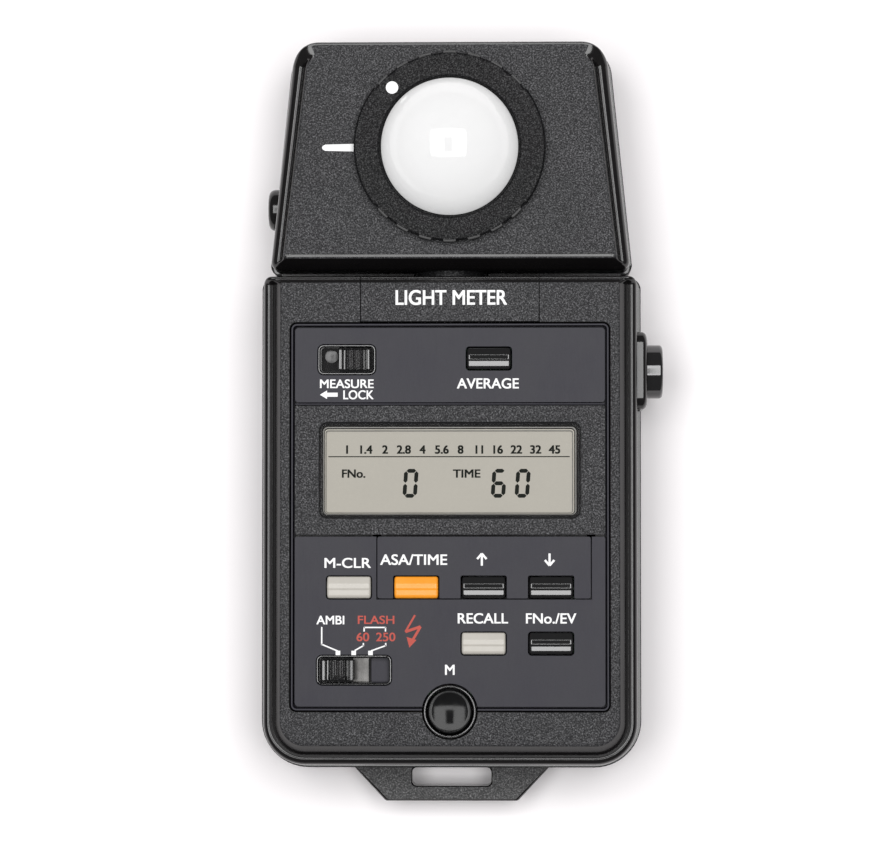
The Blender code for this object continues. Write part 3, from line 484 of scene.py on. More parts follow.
def finish_mesh(name, bm, kinds, sharp=35.0):
    """A smooth object with sharp edges, from a bmesh in millimetres."""
    bmesh.ops.recalc_face_normals(bm, faces=bm.faces)
    bmesh.ops.scale(bm, vec=(MM, MM, MM), verts=bm.verts)
    item = mesh_object(name, bm, kinds)
    shade(item.data, sharp)
    return item


def add_rows(bm, rows):
    return [[bm.verts.new(point) for point in row] for row in rows]


def add_tube(bm, made):
    """A ring-shaped solid through rows of vertices: the last row joins the first."""
    for index, row in enumerate(made):
        last = made[index - 1]
        for step, vertex in enumerate(row):
            bm.faces.new((last[step - 1], last[step], vertex, row[step - 1]))


def add_loft(bm, rows, row_kinds=None, caps=(0, 0), side_kinds=None):
    """A closed solid through rows of 3-D points, with a material index for each band or each side."""
    made = add_rows(bm, rows)
    for index, (low, high) in enumerate(zip(made, made[1:])):
        for step, vertex in enumerate(low):
            after = (step + 1) % len(low)
            face = bm.faces.new((vertex, low[after], high[after], high[step]))
            if side_kinds:
                face.material_index = side_kinds[step]
            elif row_kinds:
                face.material_index = row_kinds[index]
    first, last = bm.faces.new(made[0][::-1]), bm.faces.new(made[-1])
    first.material_index, last.material_index = caps


def level(outline, z):
    return [(point[0], point[1], z) for point in outline]


def levels(outline, steps):
    """Rows of an outline at (inset, height) steps."""
    return [level(outline(inset), z) for inset, z in steps]


def loft(name, rows, kinds, row_kinds=None, caps=(0, 0)):
    bm = bmesh.new()
    add_loft(bm, rows, row_kinds, caps)
    return finish_mesh(name, bm, kinds)


def prism(name, outline, z_range, kinds, holes=()):
    """A plate with holes. With two kinds the first is the sides' and the second the top's."""
    bm = bmesh.new()
    edges = []
    for loop in (outline, *holes):
        row = [bm.verts.new((point[0], point[1], z_range[0])) for point in loop]
        edges += [bm.edges.new((vertex, row[index - 1])) for index, vertex in enumerate(row)]
    bmesh.ops.triangle_fill(bm, edges=edges, use_beauty=True, use_dissolve=False)
    lifted = bmesh.ops.extrude_face_region(bm, geom=bm.faces[:])
    raised = [item for item in lifted["geom"] if isinstance(item, bmesh.types.BMVert)]
    bmesh.ops.translate(bm, vec=(0, 0, z_range[1] - z_range[0]), verts=raised)
    if len(kinds) > 1:
        for face in bm.faces:
            face.material_index = int(face.calc_center_median().z > z_range[1] - 0.01)
    return finish_mesh(name, bm, kinds)


def turned(name, profile, kinds, steps=64):
    """A solid turned about Z from a (radius, height) profile that closes or ends on the axis."""
    bm = bmesh.new()
    rows = []
    for radius, z in profile:
        points = circle(0, 0, radius, steps if radius else 1)
        rows.append([bm.verts.new((point[0], point[1], z)) for point in points])
    for index in range(1 if profile[0][0] == 0 else 0, len(rows)):
        low, high = rows[index - 1], rows[index]
        for step in range(steps):
            after = (step + 1) % steps
            below = [low[step % len(low)], low[after % len(low)]]
            above = [high[after % len(high)], high[step % len(high)]]
            bm.faces.new(list(dict.fromkeys(below + above)))
    return finish_mesh(name, bm, kinds)


def across(name, profile, x_range, kinds, side_kinds):
    """A bar along X with a (y, z) profile, anticlockwise as seen from +X. side_kinds is for each side."""
    bm = bmesh.new()
    add_loft(bm, [[(x, y, z) for y, z in profile] for x in x_range], side_kinds=side_kinds)
    return finish_mesh(name, bm, kinds)


def cylinders(name, places, radius, z_range, steps=32):
    bm = bmesh.new()
    for x, y in places:
        add_loft(bm, [level(circle(x, y, radius, steps), z) for z in z_range])
    return finish_mesh(name, bm, ["edge_black"])


def block(name, x_range, y_range, z_range, kind="edge_black"):
    left, right = x_range
    low, top = y_range
    corners = [(left, low), (right, low), (right, top), (left, top)]
    return loft(name, [level(corners, z) for z in z_range], [kind])


def place(item, location, rotation=(0.0, 0.0, 0.0)):
    """Moves the mesh itself, so that the object stays at the origin."""
    turn = Matrix.LocRotScale(Vector(location) * MM, Matrix.Identity(3), None)
    spin = Matrix.Rotation(rotation[2], 4, "Z") @ Matrix.Rotation(rotation[1], 4, "Y")
    spin = spin @ Matrix.Rotation(rotation[0], 4, "X")
    item.data.transform(turn @ spin)
    return item


ALONG_X = (0.0, math.pi / 2, 0.0)
AGAINST_X = (0.0, -math.pi / 2, 0.0)
ALONG_Y = (-math.pi / 2, 0.0, 0.0)


def carve(item, *tools):
    """Cuts the tools from the piece and deletes them."""
    for tool in tools:
        modifier = item.modifiers.new("cut", "BOOLEAN")
        modifier.operation = "DIFFERENCE"
        modifier.solver = "EXACT"
        modifier.object = tool
    graph = bpy.context.evaluated_depsgraph_get()
    mesh = bpy.data.meshes.new_from_object(item.evaluated_get(graph))
    item.modifiers.clear()
    item.data = mesh
    shade(mesh)
    for tool in tools:
        bpy.data.objects.remove(tool)
    return item


def soften(item, width, segments=2, angle=38.0):
    bevel = item.modifiers.new("soft_edges", "BEVEL")
    bevel.width = width * MM
    bevel.segments = segments
    bevel.limit_method = "ANGLE"
    bevel.angle_limit = math.radians(angle)
    bevel.use_clamp_overlap = True
    return even(item)


def even(item):
    """Flat faces keep their own normals where they meet rounded ones."""
    normals = item.modifiers.new("even_normals", "WEIGHTED_NORMAL")
    normals.keep_sharp = True
    return item


def attach(item, body, kind, *nodes):
    """The piece moves with a body and stands for CAD nodes, which it hides. kind is not used."""
    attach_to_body(item, body)
    if nodes:
        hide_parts(*nodes)
    return item


# Shells


def smooth_step(value):
    value = min(max(value, 0.0), 1.0)
    return value * value * (3 - 2 * value)


def edge_rows(outline, table):
    """The rim's rows, blending between its side, top and low heights by where the outline faces."""
    rows = []
    for inset, side, top, low in table:
        row = []
        for x, y, facing in outline(inset):
            share = smooth_step((abs(facing) - 0.15) / 0.85)
            other = top if facing > 0 else low
            row.append((x, y, side + (other - side) * share))
        rows.append(row)
    return rows


def front_shell(name, outline, table):
    inner = SHELL_STEP + WALL
    rim = SPLIT_Z + SEAM
    inside = [(inner + 1.6, CEILING_Z), (inner, CEILING_Z - 1.4), (inner, rim), (SHELL_STEP, rim)]
    rows = levels(outline, inside) + edge_rows(outline, table)
    row_kinds = [0, 0, 0, 2]
    row_kinds += [1 if inset >= GRAIN_FROM else 0 for inset, *_ in table[:-1]]
    return loft(name, rows, SHELL_KINDS, row_kinds, (0, 1))


def finish_face_edges(item):
    """The face's grain runs out to the far edge, and ends in a smooth slope on the near side."""
    for polygon in item.data.polygons:
        if polygon.material_index == 1 and -0.25 < polygon.normal.y < -0.08:
            polygon.material_index = 0
        elif polygon.normal.z > 0.995 and polygon.center.z > 24.95 * MM:
            polygon.material_index = 1


def rear_shell(name, outline):
    rim = SPLIT_Z - SEAM
    steps = [(WALL + 1.2, FLOOR_Z), (WALL, FLOOR_Z + 1.2), (WALL, rim), (0.25, rim), (0.07, rim - 0.07)]
    steps += [(0.0, rim - 0.25), (0.0, 3.2), (0.12, 2.1), (0.45, 1.2), (1.0, 0.5), (1.8, 0.1), (2.4, 0.0)]
    row_kinds = [0, 0, 0, 0, 2, 2, 2, 2, 2, 2, 1]
    return loft(name, levels(outline, steps), SHELL_KINDS, row_kinds, (0, 1))


def bore(name, start, length, radius, steps=48):
    profile = [(0, 0), (radius, 0), (radius, length), (0, length)]
    return place(turned(name, profile, ["edge_black"], steps), start, ALONG_Y)


def case_neck_cut():
    return bore("neck_cut", (0, 26.0, SPLIT_Z), 6.0, SWIVEL_RADII[1])


def screw_seats(places):
    return cylinders("seat_cut", places, 2.7, (-1.0, 2.0))


def side_opening():
    outline = centred(0, 0, *SIDE_HOLE, 8)
    rows = [[(x, SIDE_Y + b, SPLIT_Z + a) for a, b, _ in outline] for x in (33.5, 40.0)]
    return loft("side_cut", rows, ["edge_black"])


def memory_opening():
    return cylinders("ring_cut", [MEMORY], 5.5, (18.0, 26.5), 64)


def make_front():
    shell = front_shell("front_shell", body_outline, BODY_EDGE)
    left, right, low, top = OPENING
    rows = [level(box(left - out, right + out, low - out, top + out, 1.3 + out, 6), z)
            for out, z in ((0, 21.8), (0, 24.86), (0.14, 25.0), (0.14, 26.0))]
    heights, end = COVER_SEAT
    cover = block("cover_cut", (-COVER_HALF, COVER_HALF), (top + 0.01, end), heights)
    carve(shell, loft("panel_cut", rows, ["edge_black"]), cover, case_neck_cut(), memory_opening(),
          side_opening())
    attach(even(shell), "body", "grained_black", "front_case")


def make_rear():
    shell = rear_shell("rear_shell", body_outline)
    lug = block("lug_cut", *LUG_SEAT)
    door = block("door_cut", *DOOR_SEAT)
    bay = block("bay_cut", *BATTERY_BAY)
    carve(shell, case_neck_cut(), side_opening(), lug, door, bay, screw_seats(CASE_SCREWS))
    attach(even(shell), "body", "grained_black", "rear_case")


def make_head():
    front = front_shell("head_front_shell", head_outline, HEAD_EDGE)
    finish_face_edges(front)
    rear = rear_shell("head_rear_shell", head_outline)
    base = cylinders("base_cut", [(0, RECEPTOR_Y)], 14.0, (21.0, 26.0), 64)
    pieces = ((front, base, "head_front_case"), (rear, screw_seats(HEAD_SCREWS), "head_rear_case"))
    for shell, cutter, node in pieces:
        neck = bore("neck_cut", (0, 28.7, SPLIT_Z), 5.8, SWIVEL_RADII[0])
        sync = turned("sync_cut", [(0, 0), (4.45, 0), (4.45, 12), (0, 12)], ["edge_black"])
        carve(shell, neck, place(sync, (-39.6, SYNC_Y, SPLIT_Z), ALONG_X), cutter)
        attach(even(shell), "head", "grained_black", node)


def make_cover():
    """The plate over the swivel. Its top edge carries on the case's lip."""
    edge = [(BODY["top"] - BODY["top_share"] * inset, top) for inset, _, top, _ in BODY_EDGE]
    low = OPENING[3] + 0.15
    profile = [(low, 22.8), (edge[0][0], 22.8), *edge, (low + 0.12, 25.0), (low, 24.9)]
    kinds = [0] * len(profile)
    for index, (inset, *_) in enumerate(BODY_EDGE):
        if inset >= GRAIN_FROM:
            kinds[index + 2] = 1
    half = COVER_HALF - 0.14
    plate = across("swivel_cover_plate", profile, (-half, half), ["edge_black", "grained_black"], kinds)
    attach(soften(plate, 0.05), "body", "grained_black", "swivel_cover")


# Panels


def key_hole(name):
    x, y, _ = KEYS[name]
    return centred(x, y, KEY_SIZE[0] + 0.45, KEY_SIZE[1] + 0.45, 0.75)


def slot_hole(slot):
    x, y, width, height = slot
    return centred(x, y, width + 0.1, height + 0.1, 1.25)


def window_outline(extra, radius):
    return centred(0, WINDOW_Y, WINDOW_SIZE[0] + extra, WINDOW_SIZE[1] + extra, radius, 8)


def make_border():
    """The thin strip round the panels."""
    left, right, low, top = OPENING

    def outline(inset):
        gap = 0.17 + inset
        return box(left + gap, right - gap, low + gap, top - gap, max(1.15 - inset, 0.35), 6)

    section = [(0, 21.4), (0, 24.72), (0.1, 24.88), (0.38, 24.88), (0.48, 24.72), (0.48, 22.3), (1.9, 22.3)]
    section.append((1.9, 21.4))
    bm = bmesh.new()
    add_tube(bm, add_rows(bm, levels(outline, section)))
    border = finish_mesh("panel_border", bm, ["smooth_black"], 25.0)
    carve(border, memory_opening())
    attach(even(border), "body", "smooth_black", "panel_frame")


def make_panels():
    outline = box(-PANEL_HALF, PANEL_HALF, *UPPER_PANEL, 0.7)
    holes = [key_hole("average_key"), slot_hole(LOCK_SLOT)]
    upper = prism("upper_panel", outline, PANEL_Z, ["smooth_black"], holes)
    attach(soften(upper, 0.1), "body", "smooth_black", "upper_control_panel")

    outline = box(-PANEL_HALF, PANEL_HALF, *DISPLAY_PANEL, 0.5)
    hole = window_outline(2 * WINDOW_GROOVE, 1.7)
    display = prism("display_surround", outline, PANEL_Z, ["smooth_black", "grained_black"], [hole])
    attach(soften(display, 0.1), "body", "grained_black", "display_bezel")

    half = PANEL_HALF
    low, top = LOWER_PANEL
    left, right, step = FIELD[0] - 0.2, FIELD[1] + 0.2, FIELD[2] - 0.2
    corners = [(-half, low), (half, low), (half, top), (right, top)]
    corners += [(right, step), (left, step), (left, top), (-half, top)]
    holes = [key_hole(name) for name in ("memory_clear_key", "recall_key", "f_number_key")]
    outline = rounded(corners, [0.8, 0.8, 0.4, 0, 0, 0, 0, 0.4], 4)
    lower = prism("lower_panel", outline, PANEL_Z, ["smooth_black"], [*holes, slot_hole(MODE_SLOT)])
    carve(lower, memory_opening())
    attach(soften(lower, 0.1), "body", "smooth_black", "lower_control_panel")

    half_width = KEY_SIZE[0] / 2 + 0.22
    notch = KEYS["up_key"][1] + KEY_SIZE[1] / 2 + 0.22
    corners = [(FIELD[0], FIELD[2])]
    radii = [0.5]
    for name in ("speed_key", "up_key", "down_key"):
        x = KEYS[name][0]
        corners += [(x - half_width, FIELD[2]), (x - half_width, notch), (x + half_width, notch)]
        corners.append((x + half_width, FIELD[2]))
        radii += [0.2, 0.4, 0.4, 0.2]
    corners += [(FIELD[1], FIELD[2]), (FIELD[1], top), (FIELD[0], top)]
    radii += [0.5, 0.4, 0.4]
    field = prism("key_field", rounded(corners, radii, 4), (PANEL_Z[0], FIELD_Z), ["smooth_black"])
    attach(soften(field, 0.14), "body", "smooth_black", "key_field_plate")


# left, right, low, top of each dark strip under a gap between panels
BACKING_STRIPS = ((-30.4, 30.4, 2.7, 4.6), (-30.4, 30.4, -23.1, -21.4), (-15.2, -13.5, -35.6, -22.0),
                  (27.0, 28.7, -35.6, -22.0), (-15.2, 28.7, -35.7, -34.7))


def make_backing():
    """The dark strips seen down the gaps between panels, and the bar above the display."""
    bm = bmesh.new()
    for sides in BACKING_STRIPS:
        outline = box(*sides, 0.2, 2)
        add_loft(bm, [level(outline, 21.9), level(outline, 22.55)])
    attach(finish_mesh("panel_backing", bm, ["edge_black"]), "body", "gloss_black")
    bm = bmesh.new()
    outline = box(-30.5, 30.5, 3.49, 3.81, 0.1, 2)
    add_loft(bm, [level(outline, 22.5), level(outline, 24.85)])
    attach(soften(finish_mesh("panel_divider", bm, ["smooth_black"]), 0.08), "body", "smooth_black")


# Rings from the window's edge in to the display: name, shares of the way in, height and finish
DISPLAY_RINGS = (
    ("display_mask", 0.0, 0.34, 24.38, "gloss_black"), ("display_bevel", 0.34, 0.56, 24.2, "bevel_grey"),
    ("display_groove", 0.56, 0.7, 23.9, "gloss_black"), ("display_rim", 0.7, 0.86, 24.1, "light_grey"),
    ("display_inner_edge", 0.86, 1.0, 24.0, "bevel_grey"),
)


def make_display():
    """The window's dark surround, bevelled rim and display plate, under a clear cover."""
    half_width, half_height = WINDOW_SIZE[0] / 2 - 0.05, WINDOW_SIZE[1] / 2 - 0.05
    outer = (-half_width, half_width, WINDOW_Y - half_height, WINDOW_Y + half_height)

    def ring(share):
        sides = [edge + (LCD_BOX[index] - edge) * share for index, edge in enumerate(outer)]
        return box(*sides, 1.25 - 0.8 * share, 8)

    for name, start, end, top, kind in DISPLAY_RINGS:
        piece = prism(name, ring(start), (22.7, top), [kind], [ring(end)])
        attach(soften(piece, 0.05, 1), "body", kind)
    groove = prism("window_groove", window_outline(0.76, 1.68), (22.7, 24.25), ["gloss_black"],
                   [window_outline(-0.06, 1.3)])
    attach(groove, "body", "gloss_black", "lcd_window")
    left, right, low, top = LCD_BOX
    plate = prism("display_plate", box(left - 0.1, right + 0.1, low - 0.1, top + 0.1, 0.4), (22.8, LCD_Z),
                  ["display_grey"])
    attach(plate, "body", "display_grey", "lcd_glass")
    cover = prism("display_cover", window_outline(-0.3, 1.1), (24.45, 24.8), ["clear"])
    attach(soften(cover, 0.1), "body", "clear", "lcd_window")


# Keys and switches

# Slope in degrees of a key's near facet: the one that throws the softbox back at the camera
KEY_TILT = {"average_key": 8.0}
LEAST_TILT = 4.6
# Share of the way to a key's end, and how far its sides and its top draw in there
KEY_ENDS = ((1.0, 0.55, 0.45), (0.988, 0.3, 0.27), (0.965, 0.13, 0.14), (0.935, 0.04, 0.06),
            (0.9, 0.0, 0.012), (0.86, 0.0, 0.0))


def key_profile(tilt):
    """(y, height above the panel) of a key, from its near edge over the top to its far edge."""
    near = 0.531 - 0.8 * math.tan(math.radians(tilt))
    points = [(-2.15, -2.6), (-2.15, -0.25), (-2.1, 0.0), (-1.97, near - 0.25), (-1.75, near - 0.1)]
    points += [(-1.56, near - 0.03), (-1.47, near - 0.012), (-1.38, near), (-0.58, 0.531), (-0.5, 0.541)]
    points += [(-0.42, 0.56), (-0.3, 0.61), (-0.2, 0.65), (-0.12, 0.668), (0.0, 0.675), (0.66, 0.675)]
    points += [(0.74, 0.66), (0.82, 0.635), (1.85, 0.25), (2.03, 0.16), (2.12, 0.02), (2.15, -0.15)]
    return [*points, (2.15, -2.6)]


def make_key(name):
    x, y, kind = KEYS[name]
    profile = key_profile(KEY_TILT.get(name, LEAST_TILT))
    half_width, half_depth = KEY_SIZE[0] / 2, KEY_SIZE[1] / 2
    stations = [(-share * half_width, side, top) for share, side, top in KEY_ENDS]
    stations += [(share * half_width, side, top) for share, side, top in reversed(KEY_ENDS)]
    rows = []
    base = profile[0][1]
    for along, side, top in stations:
        drawn = 1 - side / half_depth
        rows.append([(x + along, y + b * drawn, PANEL_Z[1] + max(height - top, base)) for b, height in profile])
    key = loft(f"{name}_cap", rows, [kind])
    attach(even(key), f"{name}_body", kind, name)


def make_tray(name, slot, node):
    """A slot's tray with a rounded raised lip."""
    x, y, width, height = slot

    def outline(inset):
        return centred(x, y, width - 2 * inset, height - 2 * inset, max(1.2 - inset, 0.45), 6)

    steps = [(0.62, SLOT_FLOOR_Z), (0.6, 24.6), (0.55, 24.85), (0.45, 25.03), (0.3, 25.11), (0.18, 25.09)]
    steps += [(0.07, 24.98), (0.0, 24.8), (0.0, 22.2)]
    tray = loft(name, levels(outline, steps), ["gloss_black"])
    attach(even(tray), "body", "smooth_black", node)


def knob_profile():
    """(x, z) over a knob: a tab at each end and three ribs between deep grooves."""
    tab = [(3.15, 2.6), (3.05, 2.82), (2.6, 2.9), (2.32, 2.8), (2.25, 2.5), (2.2, 1.5)]
    points = [(-3.15, 0.0), (3.15, 0.0), *tab]
    for middle in (1.35, 0.0, -1.35):
        points += [(middle + 0.36, 1.4), (middle + 0.27, 2.3), (middle + 0.14, 2.56), (middle, 2.62)]
        points += [(middle - 0.14, 2.56), (middle - 0.27, 2.3), (middle - 0.36, 1.4)]
    return points + [(-x, z) for x, z in reversed(tab)]


def make_knob(name, x, y, body, node):
    rows = [[(x + a, y + side, SLOT_FLOOR_Z + 0.2 + z) for a, z in knob_profile()] for side in (2.0, -2.0)]
    knob = loft(name, rows, ["gloss_black"])
    attach(soften(knob, 0.12, 3, 50.0), body, "gloss_black", node)


def make_switches():
    make_tray("lock_tray", LOCK_SLOT, "lock_switch_bezel")
    make_tray("mode_tray", MODE_SLOT, "mode_switch_bezel")
    make_knob("lock_knob", LOCK_KNOB_X, LOCK_SLOT[1], "lock_slider_body", "measure_lock_slider")
    make_knob("mode_knob", MODE_KNOB_X, MODE_SLOT[1], "mode_slider_body", "mode_slider")
    arch = [(-19.3 + 3.5 * step / 12, 22.95 + 0.24 * math.sin(math.pi * step / 12)) for step in range(13)]
    rows = [[(x, y, z) for x, z in [*arch, (-15.8, 22.8), (-19.3, 22.8)]] for y in (-51.05, -46.35)]
    blade = loft("mode_blade", rows, ["blade_grey"])
    attach(even(blade), "body", "blade_grey")
    bump = [(0, -0.1), (1.3, -0.1), (1.3, 0.0), (1.05, 0.05), (0.8, 0.093), (0.5, 0.128), (0.25, 0.145)]
    bump.append((0, 0.15))
    floor_bump = turned("lock_floor_bump", [(r, SLOT_FLOOR_Z + z) for r, z in bump], ["satin_black"], 48)
    attach(even(place(floor_bump, (-23.4, 13.1, 0))), "body", "satin_black")
    floor_plate = prism("mode_floor", box(-15.5, -12.0, -51.1, -46.3, 0.3), (22.9, 23.1), ["smooth_black"])
    attach(soften(floor_plate, 0.04), "body", "smooth_black")


def make_memory_button():
    profile = [(4.62, 22.6), (4.62, 25.2), (4.7, 25.34), (4.85, 25.42), (5.02, 25.42), (5.16, 25.33)]
    profile += [(5.25, 25.15), (5.25, 22.6)]
    ring = turned("memory_ring", profile, ["gloss_black"], 96)
    attach(even(place(ring, (*MEMORY, 0))), "body", "gloss_black", "memory_button_ring")
    profile = [(0, 21.2), (4.35, 21.2), (4.35, 24.85), (4.28, 25.05), (4.1, 25.18), (3.85, 25.2), (3.5, 25.1)]
    profile += [(2.9, 24.93), (2.2, 24.8), (1.5, 24.7), (0.8, 24.64), (0, 24.62)]
    cap = turned("memory_cap", profile, ["button_black"], 96)
    attach(even(place(cap, (*MEMORY, 0))), "memory_button_body", "button_black", "memory_button")


def make_side_button():
    """The big round button, in a square collar with rounded shoulders."""
    steps = [(0.0, 35.0), (0.0, 38.1), (0.15, 38.5), (0.45, 38.8), (0.9, 39.0), (1.5, 39.1)]
    rows = []
    for draw, along in steps:
        outline = centred(0, 0, 15.6 - 2 * draw, 15.4 - 2 * draw, 2.6 - draw * 0.5, 8)
        rows.append([(along, SIDE_Y + b, SPLIT_Z + a) for a, b, _ in outline])
    collar = loft("side_collar", rows, ["edge_black"])
    hole = turned("collar_cut", [(0, 0), (5.6, 0), (5.6, 8), (0, 8)], ["edge_black"], 64)
    carve(collar, place(hole, (33.0, SIDE_Y, SPLIT_Z), ALONG_X))
    attach(even(collar), "body", "smooth_black", "button_collar")
    radius, end = SIDE_RADIUS, SIDE_END - 31.0
    profile = [(0, 0), (1.5, 0), (1.5, 2.6), (6.3, 2.6), (6.3, 3.7), (radius, 3.7), (radius, end - 0.75)]
    profile += [(radius - 0.07, end - 0.5), (radius - 0.25, end - 0.27), (radius - 0.55, end - 0.13)]
    profile += [(radius - 1.1, end - 0.1), (radius - 1.6, end - 0.2), (2.0, end - 0.32), (0, end - 0.36)]
    button = turned("side_button", profile, ["gloss_black"], 96)
    place(button, (31.0, SIDE_Y, SPLIT_Z), ALONG_X)
    attach(even(button), "measuring_button_body", "gloss_black", "measuring_button")


# Receptor


def notch_share(angle):
    """1 in a finger notch of the ring's rim and 0 on its lands."""
    turn = math.degrees(angle) % 180.0
    away = abs(turn - 90.0)
    if away > 52.5:
        return 0.0
    phase = abs((turn - 90.0) / 15.0 - round((turn - 90.0) / 15.0)) * 15.0
    return smooth_step((phase - 3.4) / 1.3)


def make_ring():
    steps = 480
    rim = RING_RADIUS
    section = [(11.2, 23.3, 0), (12.2, 23.3, 0), (12.2, 25.3, 0), (17.9, 25.3, 0), (rim - 0.3, 25.32, 1)]
    section += [(rim - 0.05, 25.5, 1), (rim, 25.8, 1), (rim, 27.1, 1), (rim - 0.05, 27.28, 1)]
    section += [(rim - 0.2, 27.42, 1), (rim - 0.42, 27.48, 0.85), (rim - 0.8, 27.51, 0.3)]
    section += [(17.6, 27.54, 0), (16.9, 27.55, 0), (14.4, 27.55, 0), (14.1, 27.5, 0)]
    section += [(13.9, 27.35, 0), (13.8, 27.1, 0), (13.8, 26.3, 0), (11.2, 26.3, 0)]
    bm = bmesh.new()
    rows = []
    for radius, z, depth in section:
        row = []
        for step in range(steps):
            angle = 2 * math.pi * step / steps
            reach = radius - NOTCH_DEPTH * depth * notch_share(angle)
            row.append(bm.verts.new((reach * math.cos(angle), RECEPTOR_Y + reach * math.sin(angle), z)))
        rows.append(row)
    add_tube(bm, rows)
    for face in bm.faces:
        middle = face.calc_center_median()
        angle = math.atan2(middle.y - RECEPTOR_Y, middle.x)
        outer = math.hypot(middle.x, middle.y - RECEPTOR_Y) > rim - 0.45
        # Faces on the lands' outer top edge, within these angles, take the lighter painted highlight.
        if outer and 27.3 < middle.z < 27.5 and LAND_LOW < abs(math.degrees(angle)) < LAND_HIGH:
            face.material_index = int(notch_share(angle) < 0.3)
    ring = finish_mesh("grip_ring", bm, ["ring_black", "land_highlight_grey"], 50.0)
    attach(even(ring), "diffuser", "ring_black", "diffuser_ring")


def make_dome():
    steps = 28
    quarter = [math.pi / 2 * step / steps for step in range(steps + 1)]
    skin = [(DOME_RADIUS * math.cos(a), DOME_BASE_Z + DOME_HEIGHT * math.sin(a)) for a in quarter[:-1]]
    under = DOME_BASE_Z - 0.1
    profile = [(0, under), (DOME_RADIUS - 0.05, under), *skin, (0, DOME_BASE_Z + DOME_HEIGHT)]
    dome = place(turned("opal_dome", profile, ["opal_white"], 128), (0, RECEPTOR_Y, 0))
    attach(dome, "diffuser", "opal_white", "dome_diffuser")


def make_sync():
    profile = [(2.6, 0), (4.15, 0), (4.15, 4.7), (4.08, 5.1), (3.9, 5.5), (3.6, 5.8), (3.2, 5.97), (2.9, 5.98)]
    profile += [(2.7, 5.85), (2.6, 5.6)]
    collar = turned("sync_collar", profile, ["edge_black"], 64)
    place(collar, (SYNC_ROOT_X, SYNC_Y, SPLIT_Z), AGAINST_X)
    attach(even(collar), "head", "smooth_black")
    profile = [(0, 0), (2.6, 0), (2.6, 4.9), (2.5, 5.1), (1.9, 5.1), (1.75, 5.0), (1.7, 2.5), (0.6, 2.5)]
    profile += [(0.6, 4.6), (0.4, 4.9), (0, 5.0)]
    socket = turned("sync_socket", profile, ["brass"], 48)
    place(socket, (SYNC_ROOT_X, SYNC_Y, SPLIT_Z), AGAINST_X)
    attach(even(socket), "head", "brass", "sync_terminal")


# Lug, door and screws


def make_lug():
    low_half, root_half = LUG_HALVES
    root = BODY["low"] - 0.3

    def outline(inset):
        low, side = LUG_LOW + inset, inset * 1.1
        corners = [(-low_half + side, low), (low_half - side, low), (root_half - side, root), (16.0, root)]
        corners += [(16.0, -65.4), (-16.0, -65.4), (-16.0, root), (-root_half + side, root)]
        return rounded(corners, [1.0, 1.0, 0, 0, 0, 0, 0, 0], 6)

    low_z, high_z = LUG_Z
    steps = [(0.3, low_z), (0.0, low_z + 0.3), (0.0, high_z - 0.55), (0.12, high_z - 0.25), (0.4, high_z)]
    lug = loft("strap_loop", levels(outline, steps), ["edge_black", "lug_black"], caps=(0, 1))
    cuts = ((0, 2.0), (0, high_z - 0.2), (0.2, high_z), (0.2, 9.5))
    rows = [level(box(-8.0 - out, 8.0 + out, root - 3.7 - out, root + out, 1.0, 6), z) for out, z in cuts]
    carve(lug, loft("slot_cut", rows, ["edge_black"]))
    attach(even(lug), "body", "lug_black", "strap_lug")


def make_door():
    """The battery door, with ribs for a thumb and an arrow."""
    door = prism("battery_door_plate", box(-11.0, 11.0, -66.3, -34.5, 0.8), (0.25, 1.5), ["wall_black"])
    bm = bmesh.new()
    for index in range(6):
        y = -62.5 + 1.6 * index
        bar = box(-7.5, 7.5, y - 0.4, y + 0.4, 0.35)
        add_loft(bm, [level(bar, 0.05), level(bar, 0.6)])
    arrow = [(0.0, -50.6, 0), (2.2, -47.6, 0), (-2.2, -47.6, 0)]
    add_loft(bm, [level(arrow, 0.12), level(arrow, 0.6)])
    ribs = finish_mesh("door_ribs", bm, ["wall_black"])
    attach(soften(door, 0.15), "battery_door_body", "smooth_black", "battery_door")
    attach(soften(ribs, 0.1), "battery_door_body", "smooth_black")


def make_screws():
    profile = [(0, 0.55), (1.9, 0.4), (2.2, 0.5), (2.35, 0.8), (2.35, 1.7), (1.0, 1.7), (1.0, 11.0), (0, 11.0)]
    for prefix, places, body in (("case", CASE_SCREWS, "body"), ("head", HEAD_SCREWS, "head")):
        for index, (x, y) in enumerate(places):
            screw = turned(f"{prefix}_screw_{index + 1}_part", profile, ["steel"], 40)
            bars = [block("bar", (-1.5, 1.5), (-0.25, 0.25), (-0.5, 1.2)),
                    block("bar", (-0.25, 0.25), (-1.5, 1.5), (-0.5, 1.2))]
            carve(screw, *bars)
            place(screw, (x, y, 0), (0, 0, 0.5 + index))
            attach(even(screw), body, "steel", f"{prefix}_screw_{index + 1}")


# Printing


def letter_shape(words):
    """(points, faces) of words in Blender's own face, with the baseline at 0."""
    curve = bpy.data.curves.new("words", "FONT")
    curve.body = words
    item = add_object("words", curve)
    graph = bpy.context.evaluated_depsgraph_get()
    mesh = bpy.data.meshes.new_from_object(item.evaluated_get(graph))
    points = [vertex.co.copy() for vertex in mesh.vertices]
    faces = [list(polygon.vertices) for polygon in mesh.polygons]
    bpy.data.objects.remove(item)
    return points, faces


CAP = max(point.y for point in letter_shape("H")[0])
BOLD = 0.05  # how far a heavier letter's copies are spread, as a share of its height
LAYER = 0.0015  # between flat prints that overlap
LIFT = 0.012  # of a print over its panel
FACE_PRINT_Z = 25.02


